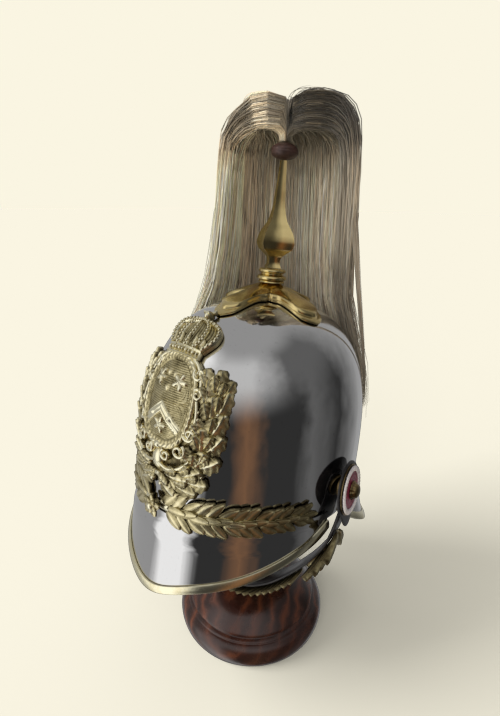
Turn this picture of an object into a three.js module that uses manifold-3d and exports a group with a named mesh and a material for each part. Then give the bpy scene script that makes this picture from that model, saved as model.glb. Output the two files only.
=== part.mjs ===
// Cavalry helmet with a falling horsehair plume, on a turned wooden stand.
// Millimetres, +Z up, the helmet faces -Y and the wearer's left is +X.
// The origin is the centre of the stand's foot, on the floor.

import * as THREE from 'three';
import { mergeVertices } from 'three/addons/utils/BufferGeometryUtils.js';
import Module from 'manifold-3d';

const wasm = await Module();
wasm.setup();

const { degToRad, lerp, smoothstep } = THREE.MathUtils;
const V = (x, y, z) => new THREE.Vector3(x, y, z);

// Driving dimensions of the helmet, in millimetres and degrees
const GAP = 0.3;
const SKULL_HALF_LENGTH = 108;
const SKULL_HALF_WIDTH = 89;
const SKULL_HEIGHT = 156.5;
const SKULL_SHOULDER = 3.5;
const SKULL_ROUNDNESS = 2.25;
const SKULL_WALL = 1.4;
const SKULL_RIM_DROP = 12;
const HELMET_TILT = 6.7;
const HELMET_BACK = -1.5;
const HELMET_LIFT = 176.7;

// The front peak and the neck guard, with the brass bound over their edges
const PEAK_WALL = 1.2;
const PEAK_SEAT = 0.7;
const PEAK_TOP_DROP = 3;
const PEAK_COLUMNS = 16;
const BINDING_SHEET = 0.7;
const BINDING_CLEAR = 1.2;
const BINDING_FACE = 7;
const BINDING_RETURN = 2.2;

// Laurel garland
const GARLAND_LEAVES = 8;
const GARLAND_END = 128;

// Plume fitting, heights above the skull's base line
const CROSS_TURN = 0;
const CROSS_SEAT = 1;
const CROSS_NARROWING = 0.12;
const HUB_RADIUS = 10.5;
const CROSS_TOP = 171;
const COLLAR_TOP = 181;
const SPIKE_TURN = 9;
const KNOB_HEIGHT = 272;
const KNOB_RADIUS = 10.9;
const KNOB_HALF_HEIGHT = 6.2;

// Horsehair plume, round the vertical through the knob
const PLUME_RISE = 33;
const PLUME_SPREAD = 55;
const PLUME_LOCKS = 9;
const HAIR_END = 30;
const HAIR_RAISED_AT_SIDES = 45;
const PLUME_PARTING = 47;
const PLUME_THICKNESS = 6;

// Cockades and the bosses under them
const BOSS_BACK = 7;
const BOSS_HEIGHT = 13.1;
const BOSS_TURN = 11.6;
const BOSS_LEAN = 6.3;
const COCKADE_RADIUS = 20;
const RING_WIDTH = 4.5;

// Chin strap
const STRAP_WIDTH = 22;
const STRAP_THICKNESS = 2;

// Stand
const STAND_RADIUS = 73.3;
const STEM_FOOT = 56;
const STEM_RADIUS = 12;
const HEAD_RADIUS = 42;
const HEAD_TOP = 330.4;
const HEAD_DEPTH = 34;

const TILT = degToRad(HELMET_TILT);

// Closed solids from triangles

function triangle(faces, a, b, c) {
  faces.push(a, b, c);
}

function quad(faces, a, b, c, d) {
  triangle(faces, a, b, c);
  triangle(faces, a, c, d);
}

// Shared vertices are merged, empty triangles dropped and the faces turned to point out.
function solid(faces) {
  const loose = new THREE.BufferGeometry().setFromPoints(faces);
  const merged = mergeVertices(loose, 1e-4);
  const at = merged.getAttribute('position');
  const corners = [];
  let volume = 0;
  const a = V(), b = V(), c = V();
  for (let i = 0; i < merged.index.count; i += 3) {
    const [p, q, r] = [0, 1, 2].map((k) => merged.index.getX(i + k));
    if (p === q || q === r || r === p) continue;
    a.fromBufferAttribute(at, p);
    b.fromBufferAttribute(at, q);
    c.fromBufferAttribute(at, r);
    volume += a.dot(b.cross(c));
    corners.push(p, q, r);
  }
  if (volume < 0) corners.reverse();
  merged.setIndex(corners);
  return merged;
}

function joined(geometries) {
  const parts = geometries.map((geometry) => new wasm.Manifold(new wasm.Mesh({
    numProp: 3,
    vertProperties: Float32Array.from(geometry.getAttribute('position').array),
    triVerts: Uint32Array.from(geometry.index.array),
  })));
  const whole = parts.reduce((sum, part) => sum.add(part));
  const { vertProperties, triVerts } = whole.getMesh();
  const geometry = new THREE.BufferGeometry();
  geometry.setAttribute('position', new THREE.BufferAttribute(vertProperties, 3));
  geometry.setIndex(new THREE.BufferAttribute(triVerts, 1));
  return geometry;
}

// A wall between an outer and an inner grid, whose rows run round the piece
function wall(outer, inner, ring) {
  const faces = [];
  const rows = outer.length;
  const columns = outer[0].length;
  const next = (j) => (j + 1) % columns;
  const last = ring ? columns : columns - 1;
  for (let i = 0; i + 1 < rows; i++) {
    for (let j = 0; j < last; j++) {
      quad(faces, outer[i][j], outer[i][next(j)], outer[i + 1][next(j)], outer[i + 1][j]);
      quad(faces, inner[i][j], inner[i + 1][j], inner[i + 1][next(j)], inner[i][next(j)]);
    }
    if (!ring) {
      quad(faces, inner[i][0], outer[i][0], outer[i + 1][0], inner[i + 1][0]);
      quad(faces, outer[i][last], inner[i][last], inner[i + 1][last], outer[i + 1][last]);
    }
  }
  for (let j = 0; j < last; j++) {
    const end = rows - 1;
    quad(faces, inner[0][j], inner[0][next(j)], outer[0][next(j)], outer[0][j]);
    quad(faces, outer[end][j], outer[end][next(j)], inner[end][next(j)], inner[end][j]);
  }
  return solid(faces);
}

// A closed outline carried through a row of sections, with flat ends
function sweep(sections, outline) {
  const faces = [];
  const count = sections[0].length;
  for (let i = 0; i + 1 < sections.length; i++) {
    for (let j = 0; j < count; j++) {
      const k = (j + 1) % count;
      quad(faces, sections[i][j], sections[i][k], sections[i + 1][k], sections[i + 1][j]);
    }
  }
  const flat = outline ?? sections[0].map((_, j) => {
    const angle = 2 * Math.PI * j / count;
    return new THREE.Vector2(Math.cos(angle), Math.sin(angle));
  });
  const first = sections[0];
  const end = sections[sections.length - 1];
  for (const [a, b, c] of THREE.ShapeUtils.triangulateShape(flat, [])) {
    const turn = THREE.ShapeUtils.isClockWise(flat) ? 1 : -1;
    if (turn > 0) {
      triangle(faces, first[a], first[b], first[c]);
      triangle(faces, end[c], end[b], end[a]);
    } else {
      triangle(faces, first[c], first[b], first[a]);
      triangle(faces, end[a], end[b], end[c]);
    }
  }
  return solid(faces);
}

// A profile turned round the upright axis
function turned(rows, segments) {
  const profile = rows.map(({ radius, z }) => new THREE.Vector2(radius, z));
  const geometry = new THREE.LatheGeometry(profile, segments).rotateX(Math.PI / 2);
  const at = geometry.getAttribute('position');
  const faces = Array.from(geometry.index.array, (i) => {
    const p = V().fromBufferAttribute(at, i);
    return Math.hypot(p.x, p.y) < 1e-6 ? V(0, 0, p.z) : p;
  });
  return solid(faces);
}

const steps = (count, from, to) => Array.from({ length: count + 1 }, (_, i) => lerp(from, to, i / count));

// The skull's outer face: a superellipse turned round an oval

function skullNormal(p) {
  const reach = Math.max(Math.hypot(p.x / SKULL_HALF_WIDTH, p.y / SKULL_HALF_LENGTH), 1e-6);
  const flat = SKULL_ROUNDNESS * reach ** (SKULL_ROUNDNESS - 2);
  const high = Math.max(p.z, 0) / SKULL_HEIGHT;
  return V(
    flat * p.x / SKULL_HALF_WIDTH ** 2,
    flat * p.y / SKULL_HALF_LENGTH ** 2,
    SKULL_SHOULDER * high ** (SKULL_SHOULDER - 1) / SKULL_HEIGHT,
  ).normalize();
}

function skullPoint(turn, climb) {
  const reach = Math.max(Math.cos(climb), 0) ** (2 / SKULL_ROUNDNESS);
  return V(
    SKULL_HALF_WIDTH * reach * Math.sin(turn),
    -SKULL_HALF_LENGTH * reach * Math.cos(turn),
    SKULL_HEIGHT * Math.sin(climb) ** (2 / SKULL_SHOULDER),
  );
}

function offSkull(turn, climb, out) {
  const p = skullPoint(turn, climb);
  return p.addScaledVector(skullNormal(p), out);
}

// Running length along a curve, so that ornament can be laid out in millimetres on the skull
function lengthAlong(pointAt, last, count = 600) {
  const angles = steps(count, 0, last);
  const lengths = [0];
  for (let i = 1; i <= count; i++) {
    lengths.push(lengths[i - 1] + pointAt(angles[i]).distanceTo(pointAt(angles[i - 1])));
  }
  return (length) => {
    const side = Math.sign(length) || 1;
    const wanted = Math.min(Math.abs(length), lengths[count]);
    const i = Math.max(1, lengths.findIndex((each) => each >= wanted));
    const share = (wanted - lengths[i - 1]) / (lengths[i] - lengths[i - 1]);
    return side * lerp(angles[i - 1], angles[i], share);
  };
}

const turnAt = lengthAlong((turn) => skullPoint(turn, 0), Math.PI);
const climbAt = lengthAlong((climb) => skullPoint(0, climb), Math.PI / 2);
const fromCrownFront = lengthAlong((angle) => skullPoint(0, Math.PI / 2 - angle), Math.PI / 2);
const fromCrownSide = lengthAlong((angle) => skullPoint(Math.PI / 2, Math.PI / 2 - angle), Math.PI / 2);

// A place on the skull by millimetres round from the front and up from the base line
function onSkull(round, up, out) {
  const turn = turnAt(round);
  if (up >= 0) return offSkull(turn, climbAt(up), out);
  return offSkull(turn, 0, out).setZ(up);
}

// A place on the crown by millimetres from its top, in a given direction
function onCrown(turn, reach, out) {
  const front = Math.cos(turn) ** 2;
  const angle = front * fromCrownFront(reach) + (1 - front) * fromCrownSide(reach);
  return offSkull(turn, Math.PI / 2 - angle, out);
}

function skull() {
  const columns = 29;
  const climbs = [0, 20, 36, 50, 63, 76, 90].map(degToRad);
  const rows = (out) => {
    const ring = (climb, drop) => steps(columns - 1, 0, 2 * Math.PI * (columns - 1) / columns)
      .map((turn) => offSkull(turn, climb, out).add(V(0, 0, -drop)));
    return [ring(0, SKULL_RIM_DROP), ...climbs.map((climb) => ring(climb, 0))];
  };
  return wall(rows(0), rows(-SKULL_WALL), true);
}

// Depth below the base line and outward flare of the two peaks. The angle runs from each one's middle.

const frontPeak = {
  middle: 0,
  half: 86,
  depth: (w) => 13 + 47 * Math.cos(degToRad(w)) + 11 * Math.exp(-((w / 18) ** 2)),
  flare: (w) => 4 * Math.cos(degToRad(w)) ** 2,
};

const rearPeak = {
  middle: 180,
  half: 79.5,
  depth: (w) => 17 + 37 * (1 - (Math.abs(w) / 79.5) ** 3),
  flare: (w) => {
    const side = Math.abs(w);
    const corner = 4 * Math.exp(-(((side - 62) / 10) ** 2));
    return corner + 8 * (1 - smoothstep(side, 50, 80)) + 13 * Math.cos(degToRad(side)) ** 6;
  },
};

function onPeak(peak, w, drop, out) {
  const share = Math.max(drop / peak.depth(w), 0);
  const bulge = 2.4 * smoothstep(drop, 10, 24) + peak.flare(w) * share ** 1.5;
  return offSkull(degToRad(peak.middle + w), 0, out + bulge).setZ(-drop);
}

function peakSheet(peak) {
  const columns = steps(PEAK_COLUMNS, -peak.half, peak.half);
  const rows = (out) => {
    const above = steps(2, 0, 1).map((share) => columns.map((w) => (
      onPeak(peak, w, lerp(PEAK_TOP_DROP, peak.depth(w) - BINDING_FACE, share), out))));
    return [...above, columns.map((w) => onPeak(peak, w, peak.depth(w), out))];
  };
  return wall(rows(PEAK_SEAT + PEAK_WALL), rows(PEAK_SEAT), false);
}

// A brass strip folded over the peak's free edge
function peakBinding(peak) {
  const outside = PEAK_SEAT + PEAK_WALL + BINDING_CLEAR;
  const inside = PEAK_SEAT - 2 * GAP;
  const outline = [
    [inside - BINDING_SHEET, -BINDING_RETURN], [inside, -BINDING_RETURN], [inside, GAP], [outside, GAP],
    [outside, -BINDING_FACE], [outside + BINDING_SHEET, -BINDING_FACE],
    [outside + BINDING_SHEET, GAP + BINDING_SHEET], [inside - BINDING_SHEET, GAP + BINDING_SHEET],
  ].map(([out, down]) => new THREE.Vector2(out, down));
  const sections = steps(PEAK_COLUMNS, -peak.half, peak.half).map((w) => outline.map(({ x, y }) => {
    const above = onPeak(peak, w, peak.depth(w) - BINDING_FACE, x);
    const edge = onPeak(peak, w, peak.depth(w), x);
    return above.lerp(edge, 1 + y / BINDING_FACE);
  }));
  return sweep(sections, outline);
}

// A leaf laid on a surface. Its rows give the share of the length and of the half width.
// The first and last rows are its stalk and its tip.

const LAUREL = [{ along: 0.4, width: 1 }];
const OAK = [{ along: 0.34, width: 1 }, { along: 0.72, width: 0.85 }];

function leaf(place, { round, up, heading, length, width, seat, edge, rib, rows }) {
  const angle = degToRad(heading);
  const spot = (along, aside, out) => place(
    round + length * along * Math.cos(angle) - aside * Math.sin(angle),
    up + length * along * Math.sin(angle) + aside * Math.cos(angle),
    out,
  );
  const tip = (along) => Array(5).fill(spot(along, 0, (seat + edge) / 2));
  const middle = rows.map(({ along, width: share }) => {
    const half = share * width / 2;
    return [
      spot(along, -half, seat), spot(along, half, seat), spot(along, half, edge),
      spot(along, 0, rib), spot(along, -half, edge),
    ];
  });
  return sweep([tip(0), ...middle, tip(1)]);
}

// A flat strip laid on a surface along a line with its half width at each point
function strip(place, line, seat, top) {
  const sections = line.map(({ round, up, half }, i) => {
    const [before, after] = [line[Math.max(i - 1, 0)], line[Math.min(i + 1, line.length - 1)]];
    const heading = Math.atan2(after.up - before.up, after.round - before.round);
    const [dx, dy] = [-Math.sin(heading) * half, Math.cos(heading) * half];
    return [
      place(round - dx, up - dy, seat), place(round + dx, up + dy, seat),
      place(round + dx, up + dy, top), place(round - dx, up - dy, top),
    ];
  });
  return sweep(sections);
}

// Angles of a whole turn in equal steps
const around = (count) => steps(count - 1, 0, 2 * Math.PI * (count - 1) / count);

// A rounded boss laid on a surface at the middle of the base line, its rings from the edge inwards
function oval(place, { up, halfWide, halfHigh, rings, columns, seat }) {
  const grid = (out) => rings.map(({ share, height }) => around(columns).map((angle) => place(
    halfWide * share * Math.cos(angle),
    up + halfHigh * share * Math.sin(angle),
    out ?? height,
  )));
  return wall(grid(), grid(seat), true);
}

// Front plate: a crowned cartouche in a wreath of oak

const PLATE_SEAT = 0.8;
const CARTOUCHE = {
  up: 85,
  halfWide: 28,
  halfHigh: 36.5,
  columns: 18,
  seat: PLATE_SEAT,
  rings: [
    { share: 1, height: 4.4 },
    { share: 0.84, height: 4.4 },
    { share: 0.8, height: 2.8 },
    { share: 0.4, height: 5.2 },
    { share: 0, height: 6 },
  ],
};
const PENDANT = {
  up: 39,
  halfWide: 7,
  halfHigh: 14,
  columns: 10,
  seat: PLATE_SEAT,
  rings: [{ share: 1, height: 2.4 }, { share: 0.6, height: 5.5 }, { share: 0, height: 6.2 }],
};
const WREATH_LINE = [
  { round: 0, up: 27, half: 5 },
  { round: 16, up: 25, half: 5 },
  { round: 31, up: 34, half: 5 },
  { round: 41, up: 52, half: 5 },
  { round: 44, up: 75, half: 5 },
  { round: 40, up: 104, half: 2 },
];
const WREATH_LEAVES = [
  { round: 8, up: 27, heading: -22, length: 24 },
  { round: 26, up: 29, heading: 0, length: 20 },
  { round: 39, up: 46, heading: 118, length: 19 },
  { round: 40, up: 48, heading: 40, length: 20 },
  { round: 43, up: 68, heading: 118, length: 19 },
  { round: 43, up: 70, heading: 52, length: 21 },
  { round: 42, up: 90, heading: 86, length: 24 },
];
const PLATE_SCROLLS = [
  {
    top: 7,
    line: [
      { round: 0, up: 47, half: 2.6 },
      { round: 14, up: 50, half: 3 },
      { round: 27, up: 62, half: 2.4 },
    ],
  },
  {
    top: 4.6,
    line: [
      { round: 3, up: 37, half: 2.4 },
      { round: 20, up: 38, half: 3 },
      { round: 33, up: 44, half: 2 },
    ],
  },
  {
    top: 6,
    line: [
      { round: 15, up: 118, half: 2.4 },
      { round: 27, up: 109, half: 2.4 },
      { round: 30, up: 97, half: 1.6 },
    ],
  },
];
const CROWN = { base: 119, top: 146, half: 19, spread: 30 };
const CROWN_BALL = {
  up: CROWN.top + 6,
  halfWide: 4.6,
  halfHigh: 4.6,
  columns: 7,
  seat: PLATE_SEAT,
  rings: [{ share: 1, height: 4 }, { share: 0.8, height: 8 }, { share: 0, height: 9.5 }],
};

function frontPlate() {
  const parts = [oval(onSkull, CARTOUCHE), oval(onSkull, PENDANT)];
  for (const side of [1, -1]) {
    const place = (round, up, out) => onSkull(side * round, up, out);
    parts.push(strip(place, WREATH_LINE, PLATE_SEAT, 2.6));
    for (const row of WREATH_LEAVES) {
      parts.push(leaf(place, { ...row, width: 13, seat: PLATE_SEAT, edge: 2.4, rib: 4.6, rows: OAK }));
    }
    for (const { line, top } of PLATE_SCROLLS) parts.push(strip(place, line, 1, top));
  }
  parts.push(...crown());
  return joined(parts);
}

// The crown over the cartouche: a jewelled band, five arches that meet under a ball
function crown() {
  const { base, top, half, spread } = CROWN;
  const across = steps(4, -1, 1);
  const band = across.map((t) => ({ round: t * half, up: base + 3.5, half: 3.5 }));
  const parts = [strip(onSkull, band, PLATE_SEAT, 6.5)];
  const cap = (out, lift) => steps(3, 0, 1).map((share) => across.map((t) => onSkull(
    t * lerp(half - 1, spread - 2, Math.sin(share * 1.9)),
    base + 4 + share * (top - base - 4 + 4 * (1 - t * t)),
    out + lift * (1 - t * t),
  )));
  parts.push(wall(cap(3, 2), cap(PLATE_SEAT, 0), false));
  for (const t of [-1, 0, 1]) {
    const line = steps(3, 0, 1).map((share) => ({
      round: t * (half + (spread - half) * Math.sin(Math.PI * share * 0.62)) * (1 - 0.72 * share ** 3.2),
      up: base + 6 + share * (top - base - 2),
      half: lerp(2, 1.6, share),
    }));
    parts.push(strip(onSkull, line, 1, 7.5));
  }
  parts.push(oval(onSkull, CROWN_BALL));
  return parts;
}

// Laurel garland along the skull's base line, from the middle of the front to a cockade
function garland(side) {
  const place = (round, up, out) => onSkull(side * round, up, out);
  const line = steps(8, 5, GARLAND_END).map((round) => (
    { round, up: 2, half: lerp(4.4, 3.6, round / GARLAND_END) }));
  const parts = [strip(place, line, 2 * GAP, 3.4)];
  for (let i = 0; i < GARLAND_LEAVES; i++) {
    const share = i / (GARLAND_LEAVES - 1);
    const round = lerp(8, GARLAND_END - 13, share);
    const common = { round, up: 1.5, width: lerp(8.5, 7.5, share), rib: 5.4, rows: LAUREL };
    const long = lerp(30, 17, share ** 0.7);
    const short = lerp(22, 18, share);
    parts.push(
      leaf(place, { ...common, heading: lerp(34, 26, share), length: long, seat: 1.4, edge: 2.6 }),
      leaf(place, { ...common, heading: -lerp(34, 30, share), length: short, seat: 2.8, edge: 3.4 }),
    );
  }
  return joined(parts);
}

const PETALS = 5;
const PETAL = { round: 0, up: 1, length: 9.5, width: 6.5, seat: 6.2, edge: 7, rib: 8.6, rows: LAUREL };
const ROSETTE_POST = {
  up: PETAL.up,
  halfWide: 3.4,
  halfHigh: 3.4,
  columns: 6,
  seat: PLATE_SEAT,
  rings: [{ share: 1, height: 8.5 }, { share: 0.7, height: 10 }, { share: 0, height: 10.4 }],
};

function garlandRosette() {
  const parts = [oval(onSkull, ROSETTE_POST)];
  for (let i = 0; i < PETALS; i++) parts.push(leaf(onSkull, { ...PETAL, heading: 360 * i / PETALS + 90 }));
  return joined(parts);
}

// Plume base: a cross of four pointed leaves on the crown. The rows give the angle from a leaf's
// middle and how far its edge reaches there.

const CROSS_EDGE = [
  { angle: 0, reach: 63 },
  { angle: 7, reach: 59.5 },
  { angle: 15, reach: 54 },
  { angle: 18.5, reach: 42 },
  { angle: 22, reach: 30 },
  { angle: 45, reach: 21.5 },
];
const CROSS_RINGS = [
  { share: 1, height: 2.4 },
  { share: 0.87, height: 2.8 },
  { share: 0.82, height: 6 },
  { share: 0.5, height: 10.5 },
];

function plumeBase() {
  const columns = [];
  for (const middle of [0, 90, 180, 270]) {
    for (const { angle, reach } of CROSS_EDGE.slice(1).reverse()) {
      columns.push({ turn: middle - angle, reach });
    }
    for (const { angle, reach } of CROSS_EDGE.slice(0, -1)) columns.push({ turn: middle + angle, reach });
  }
  const reachScale = (turn) => 1 - CROSS_NARROWING * Math.sin(degToRad(turn)) ** 2;
  const at = ({ turn, reach }, share, out) =>
    onCrown(degToRad(turn + CROSS_TURN), reach * share * reachScale(turn), out);
  const top = CROSS_RINGS.map(({ share, height }) => columns.map((column) => at(column, share, height)));
  const hub = columns.map((column) => {
    const p = at(column, HUB_RADIUS / column.reach / reachScale(column.turn), 0);
    return p.setZ(CROSS_TOP);
  });
  const under = CROSS_RINGS.map(({ share }) => columns.map((column) => at(column, share, CROSS_SEAT)));
  const underHub = columns.map((column) => at(column, 0.2, CROSS_SEAT));
  const crownTop = columns.map(() => V(0, 0, CROSS_TOP));
  const crownUnder = columns.map(() => V(0, 0, SKULL_HEIGHT + CROSS_SEAT));
  return wall([...top, hub, crownTop], [...under, underHub, crownUnder], true);
}

function spikeCollar() {
  const low = CROSS_TOP + GAP;
  return turned([
    { radius: 0, z: low },
    { radius: 12.2, z: low },
    { radius: 12.2, z: low + 3.4 },
    { radius: 9.4, z: low + 4.4 },
    { radius: 9.4, z: low + 5.6 },
    { radius: 11.2, z: low + 6.6 },
    { radius: 11.2, z: COLLAR_TOP - 1 },
    { radius: 9.6, z: COLLAR_TOP },
    { radius: 0, z: COLLAR_TOP },
  ], 18);
}

// Spike: square with hollow faces, a low bulb drawn out to a thin tip. Heights are above the collar.
const SPIKE_ROWS = [
  { up: 0, edge: 8.6 },
  { up: 2.2, edge: 7.2 },
  { up: 6, edge: 6.6 },
  { up: 9, edge: 7.8 },
  { up: 12, edge: 11.6 },
  { up: 15, edge: 16.2 },
  { up: 19, edge: 18.4 },
  { up: 24, edge: 18 },
  { up: 30, edge: 15.2 },
  { up: 37, edge: 10 },
  { up: 46, edge: 6.8 },
  { up: 84.2, edge: 3.1 },
];
const FACE_HOLLOW = 0.8;

function spike() {
  const sections = SPIKE_ROWS.map(({ up, edge }) => steps(7, 0, 2 * Math.PI * 7 / 8).map((angle, i) => {
    const share = i % 2 ? Math.SQRT1_2 * FACE_HOLLOW : 1;
    const turn = angle + degToRad(SPIKE_TURN);
    return V(edge * share * Math.sin(turn), -edge * share * Math.cos(turn), COLLAR_TOP + GAP + up);
  }));
  return sweep(sections);
}

function plumeKnob() {
  return turned(steps(6, -90, 90).map((angle) => ({
    radius: KNOB_RADIUS * Math.max(Math.cos(degToRad(angle)), 0) ** 0.8,
    z: KNOB_HEIGHT + KNOB_HALF_HEIGHT * Math.sin(degToRad(angle)),
  })), 16);
}

// Horsehair: rises from the knob, spreads like a fountain, falls plumb and then lies on the skull.
// A lock is known by its share, 0 to 1, of the way round from one side of the parting to the other.

const DOWN = V(0, Math.sin(TILT), -Math.cos(TILT));
const PLUME_ROOT = V(0, 0, KNOB_HEIGHT + KNOB_HALF_HEIGHT);
const FOUNTAIN_STEPS = 6;
const FALL_STEPS = 6;

// Pushed out of the skull to a given clearance
function clearOfSkull(p, clearance) {
  const [b, a, h] = [SKULL_HALF_WIDTH, SKULL_HALF_LENGTH, SKULL_HEIGHT].map((size) => size + clearance);
  for (let pass = 0; pass < 6; pass++) {
    const reach = Math.hypot(p.x / b, p.y / a);
    const inside = reach ** SKULL_ROUNDNESS + (Math.max(p.z, 0) / h) ** SKULL_SHOULDER - 1;
    if (inside >= 0) return p;
    const flat = SKULL_ROUNDNESS * reach ** (SKULL_ROUNDNESS - 2);
    const slope = V(
      flat * p.x / b ** 2,
      flat * p.y / a ** 2,
      SKULL_SHOULDER * (Math.max(p.z, 0) / h) ** (SKULL_SHOULDER - 1) / h,
    );
    p.addScaledVector(slope, -inside / slope.lengthSq());
  }
  return p;
}

const HAIR_FALL = { from: 122, to: 298 };
const BACK_SHARE = (180 - HAIR_FALL.from) / (HAIR_FALL.to - HAIR_FALL.from);
const PLUME_CLEARANCE = 6;

function lockPath(share) {
  const rootTurn = degToRad(lerp(PLUME_PARTING + 8, PLUME_PARTING + 352, share));
  const fallTurn = degToRad(lerp(HAIR_FALL.from, HAIR_FALL.to, share));
  const spread = PLUME_SPREAD + 8 * share;
  const plumb = DOWN.clone().negate();
  const back = V(0, Math.cos(TILT), Math.sin(TILT));
  const points = [];
  for (const t of steps(FOUNTAIN_STEPS, 0, 1)) {
    const turn = lerp(rootTurn, fallTurn, smoothstep(t, 0.1, 1));
    const reach = 4 + (spread - 4) * Math.sin(t * Math.PI / 2);
    const rise = 2 + PLUME_RISE * Math.sin(Math.PI * Math.min(t * 1.06 + 0.02, 1)) ** 0.75 - 18 * t ** 4;
    points.push(PLUME_ROOT.clone().add(V(reach * Math.sin(turn), 0, 0))
      .addScaledVector(back, -reach * Math.cos(turn)).addScaledVector(plumb, rise));
  }
  const end = points[points.length - 1].clone();
  const lowest = HAIR_END + HAIR_RAISED_AT_SIDES * Math.abs(share - BACK_SHARE) / (1 - BACK_SHARE);
  const fall = (end.z - lowest) / FALL_STEPS;
  for (let i = 0; i < FALL_STEPS; i++) {
    end.addScaledVector(DOWN, fall);
    clearOfSkull(end, PLUME_CLEARANCE);
    points.push(end.clone());
  }
  return points;
}

function plume() {
  const columns = 2 * PLUME_LOCKS;
  const paths = steps(columns, 0, 1).map(lockPath);
  const rows = paths[0].map((_, i) => paths.map((path) => path[i]));
  const shifted = (side) => rows.map((row, i) => row.map((p, j) => {
    const [left, right] = [row[Math.max(j - 1, 0)], row[Math.min(j + 1, columns)]];
    const [over, under] = [rows[Math.max(i - 1, 0)][j], rows[Math.min(i + 1, rows.length - 1)][j]];
    const out = right.clone().sub(left).cross(under.clone().sub(over)).normalize();
    if (out.dot(V(p.x, p.y, 40)) < 0) out.negate();
    const crest = j % 2 ? 1 : 0.25;
    const taper = Math.min(1, 0.25 + i / 3) * (i === rows.length - 1 ? 0.35 : 1);
    const share = side > 0 ? 0.6 + crest : -1;
    return p.clone().addScaledVector(out, share * taper * PLUME_THICKNESS / 2);
  }));
  const locks = wall(shifted(1), shifted(-1), false);
  const low = PLUME_ROOT.z + GAP;
  const head = turned([
    { radius: 0, z: low },
    { radius: 5.5, z: low },
    { radius: 6.5, z: low + 3 },
    { radius: 5.5, z: low + 8 },
    { radius: 0, z: low + 9 },
  ], 12);
  return joined([locks, head]);
}

// Side fittings, built round an axis that points out from the boss and carried to their place

function bossFrame(side) {
  const turn = Math.PI / 2 + Math.asin(BOSS_BACK / SKULL_HALF_LENGTH);
  const seat = offSkull(turn, 0, 0).setZ(BOSS_HEIGHT);
  const [back, lean] = [degToRad(BOSS_TURN), degToRad(BOSS_LEAN)];
  const across = V(-Math.sin(back), Math.cos(back), 0);
  const out = V(Math.cos(back) * Math.cos(lean), Math.sin(back) * Math.cos(lean), Math.sin(lean));
  const basis = new THREE.Matrix4().makeBasis(across, out.clone().cross(across), out);
  basis.setPosition(seat);
  if (side < 0) basis.premultiply(new THREE.Matrix4().makeScale(-1, 1, 1));
  return basis;
}

function atBoss(side, geometry) {
  const frame = bossFrame(side);
  const at = geometry.getAttribute('position');
  const faces = Array.from(geometry.index.array, (i) => V().fromBufferAttribute(at, i).applyMatrix4(frame));
  return solid(faces);
}

// Where each layer starts, out along the boss
const BOSS_STACK = { boss: 1.2, strap: 4.6, leather: 6.9, plate: 9, ring: 10.1, button: 11.5 };
const BOSS_RADIUS = 9;
const LEATHER_BORDER = 3.4;
const LEATHER_TIP = 9;

const bossPost = () => turned([
  { radius: 0, z: BOSS_STACK.boss },
  { radius: BOSS_RADIUS, z: BOSS_STACK.boss },
  { radius: BOSS_RADIUS, z: BOSS_STACK.strap - GAP },
  { radius: 0, z: BOSS_STACK.strap - GAP },
], 14);

function cockadeLeather() {
  const low = BOSS_STACK.leather;
  const outline = around(20).map((angle) => {
    const radius = COCKADE_RADIUS + LEATHER_BORDER + LEATHER_TIP * Math.max(0, -Math.sin(angle)) ** 14;
    return new THREE.Vector2(radius * Math.cos(angle), radius * Math.sin(angle));
  });
  return sweep([low, low + 1.8].map((z) => outline.map(({ x, y }) => V(x, y, z))), outline);
}

const cockadePlate = () => turned([
  { radius: 0, z: BOSS_STACK.plate },
  { radius: COCKADE_RADIUS + 1, z: BOSS_STACK.plate },
  { radius: COCKADE_RADIUS + 1, z: BOSS_STACK.plate + 0.8 },
  { radius: 0, z: BOSS_STACK.plate + 0.8 },
], 20);

function cockadeRing() {
  const low = BOSS_STACK.ring;
  const inner = COCKADE_RADIUS - RING_WIDTH;
  return turned([
    { radius: inner, z: low },
    { radius: COCKADE_RADIUS, z: low },
    { radius: COCKADE_RADIUS - 1, z: low + 2 },
    { radius: inner, z: low + 2 },
    { radius: inner, z: low },
  ], 18);
}

function cockadeField() {
  const low = BOSS_STACK.ring;
  const radius = COCKADE_RADIUS - RING_WIDTH - GAP;
  return turned([
    { radius: 0, z: low },
    { radius, z: low },
    { radius, z: low + 1 },
    { radius: 0, z: low + 1.1 },
  ], 18);
}

function cockadeButton() {
  const low = BOSS_STACK.button;
  return turned([
    { radius: 0, z: low },
    { radius: 7.6, z: low },
    { radius: 7.6, z: low + 1.4 },
    { radius: 5.8, z: low + 4.2 },
    { radius: 0, z: low + 6 },
  ], 12);
}

// Chin strap: hangs from both bosses, passes in front of the stem. Half the line, from the left
// boss to the middle.
const STRAP_HALF_LINE = [
  { x: 94.5, y: -3, z: -26 },
  { x: 88, y: -7, z: -41 },
  { x: 78, y: -10, z: -57 },
  { x: 64, y: -12, z: -75 },
  { x: 47, y: -13, z: -93 },
  { x: 25, y: -13.5, z: -109 },
  { x: 0, y: -13.5, z: -116 },
];
const STRAP_LEVEL = BOSS_STACK.strap + STRAP_THICKNESS / 2;

const strapHalf = [
  ...[11, -3, -13].map((up) => V(0, up, STRAP_LEVEL).applyMatrix4(bossFrame(1))),
  ...STRAP_HALF_LINE.map(({ x, y, z }) => V(x, y, z)),
];
const strapCurve = new THREE.CatmullRomCurve3([
  ...strapHalf,
  ...strapHalf.slice(0, -1).reverse().map(({ x, y, z }) => V(-x, y, z)),
], false, 'centripetal');
const STRAP_LENGTH = strapCurve.getLength();

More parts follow.
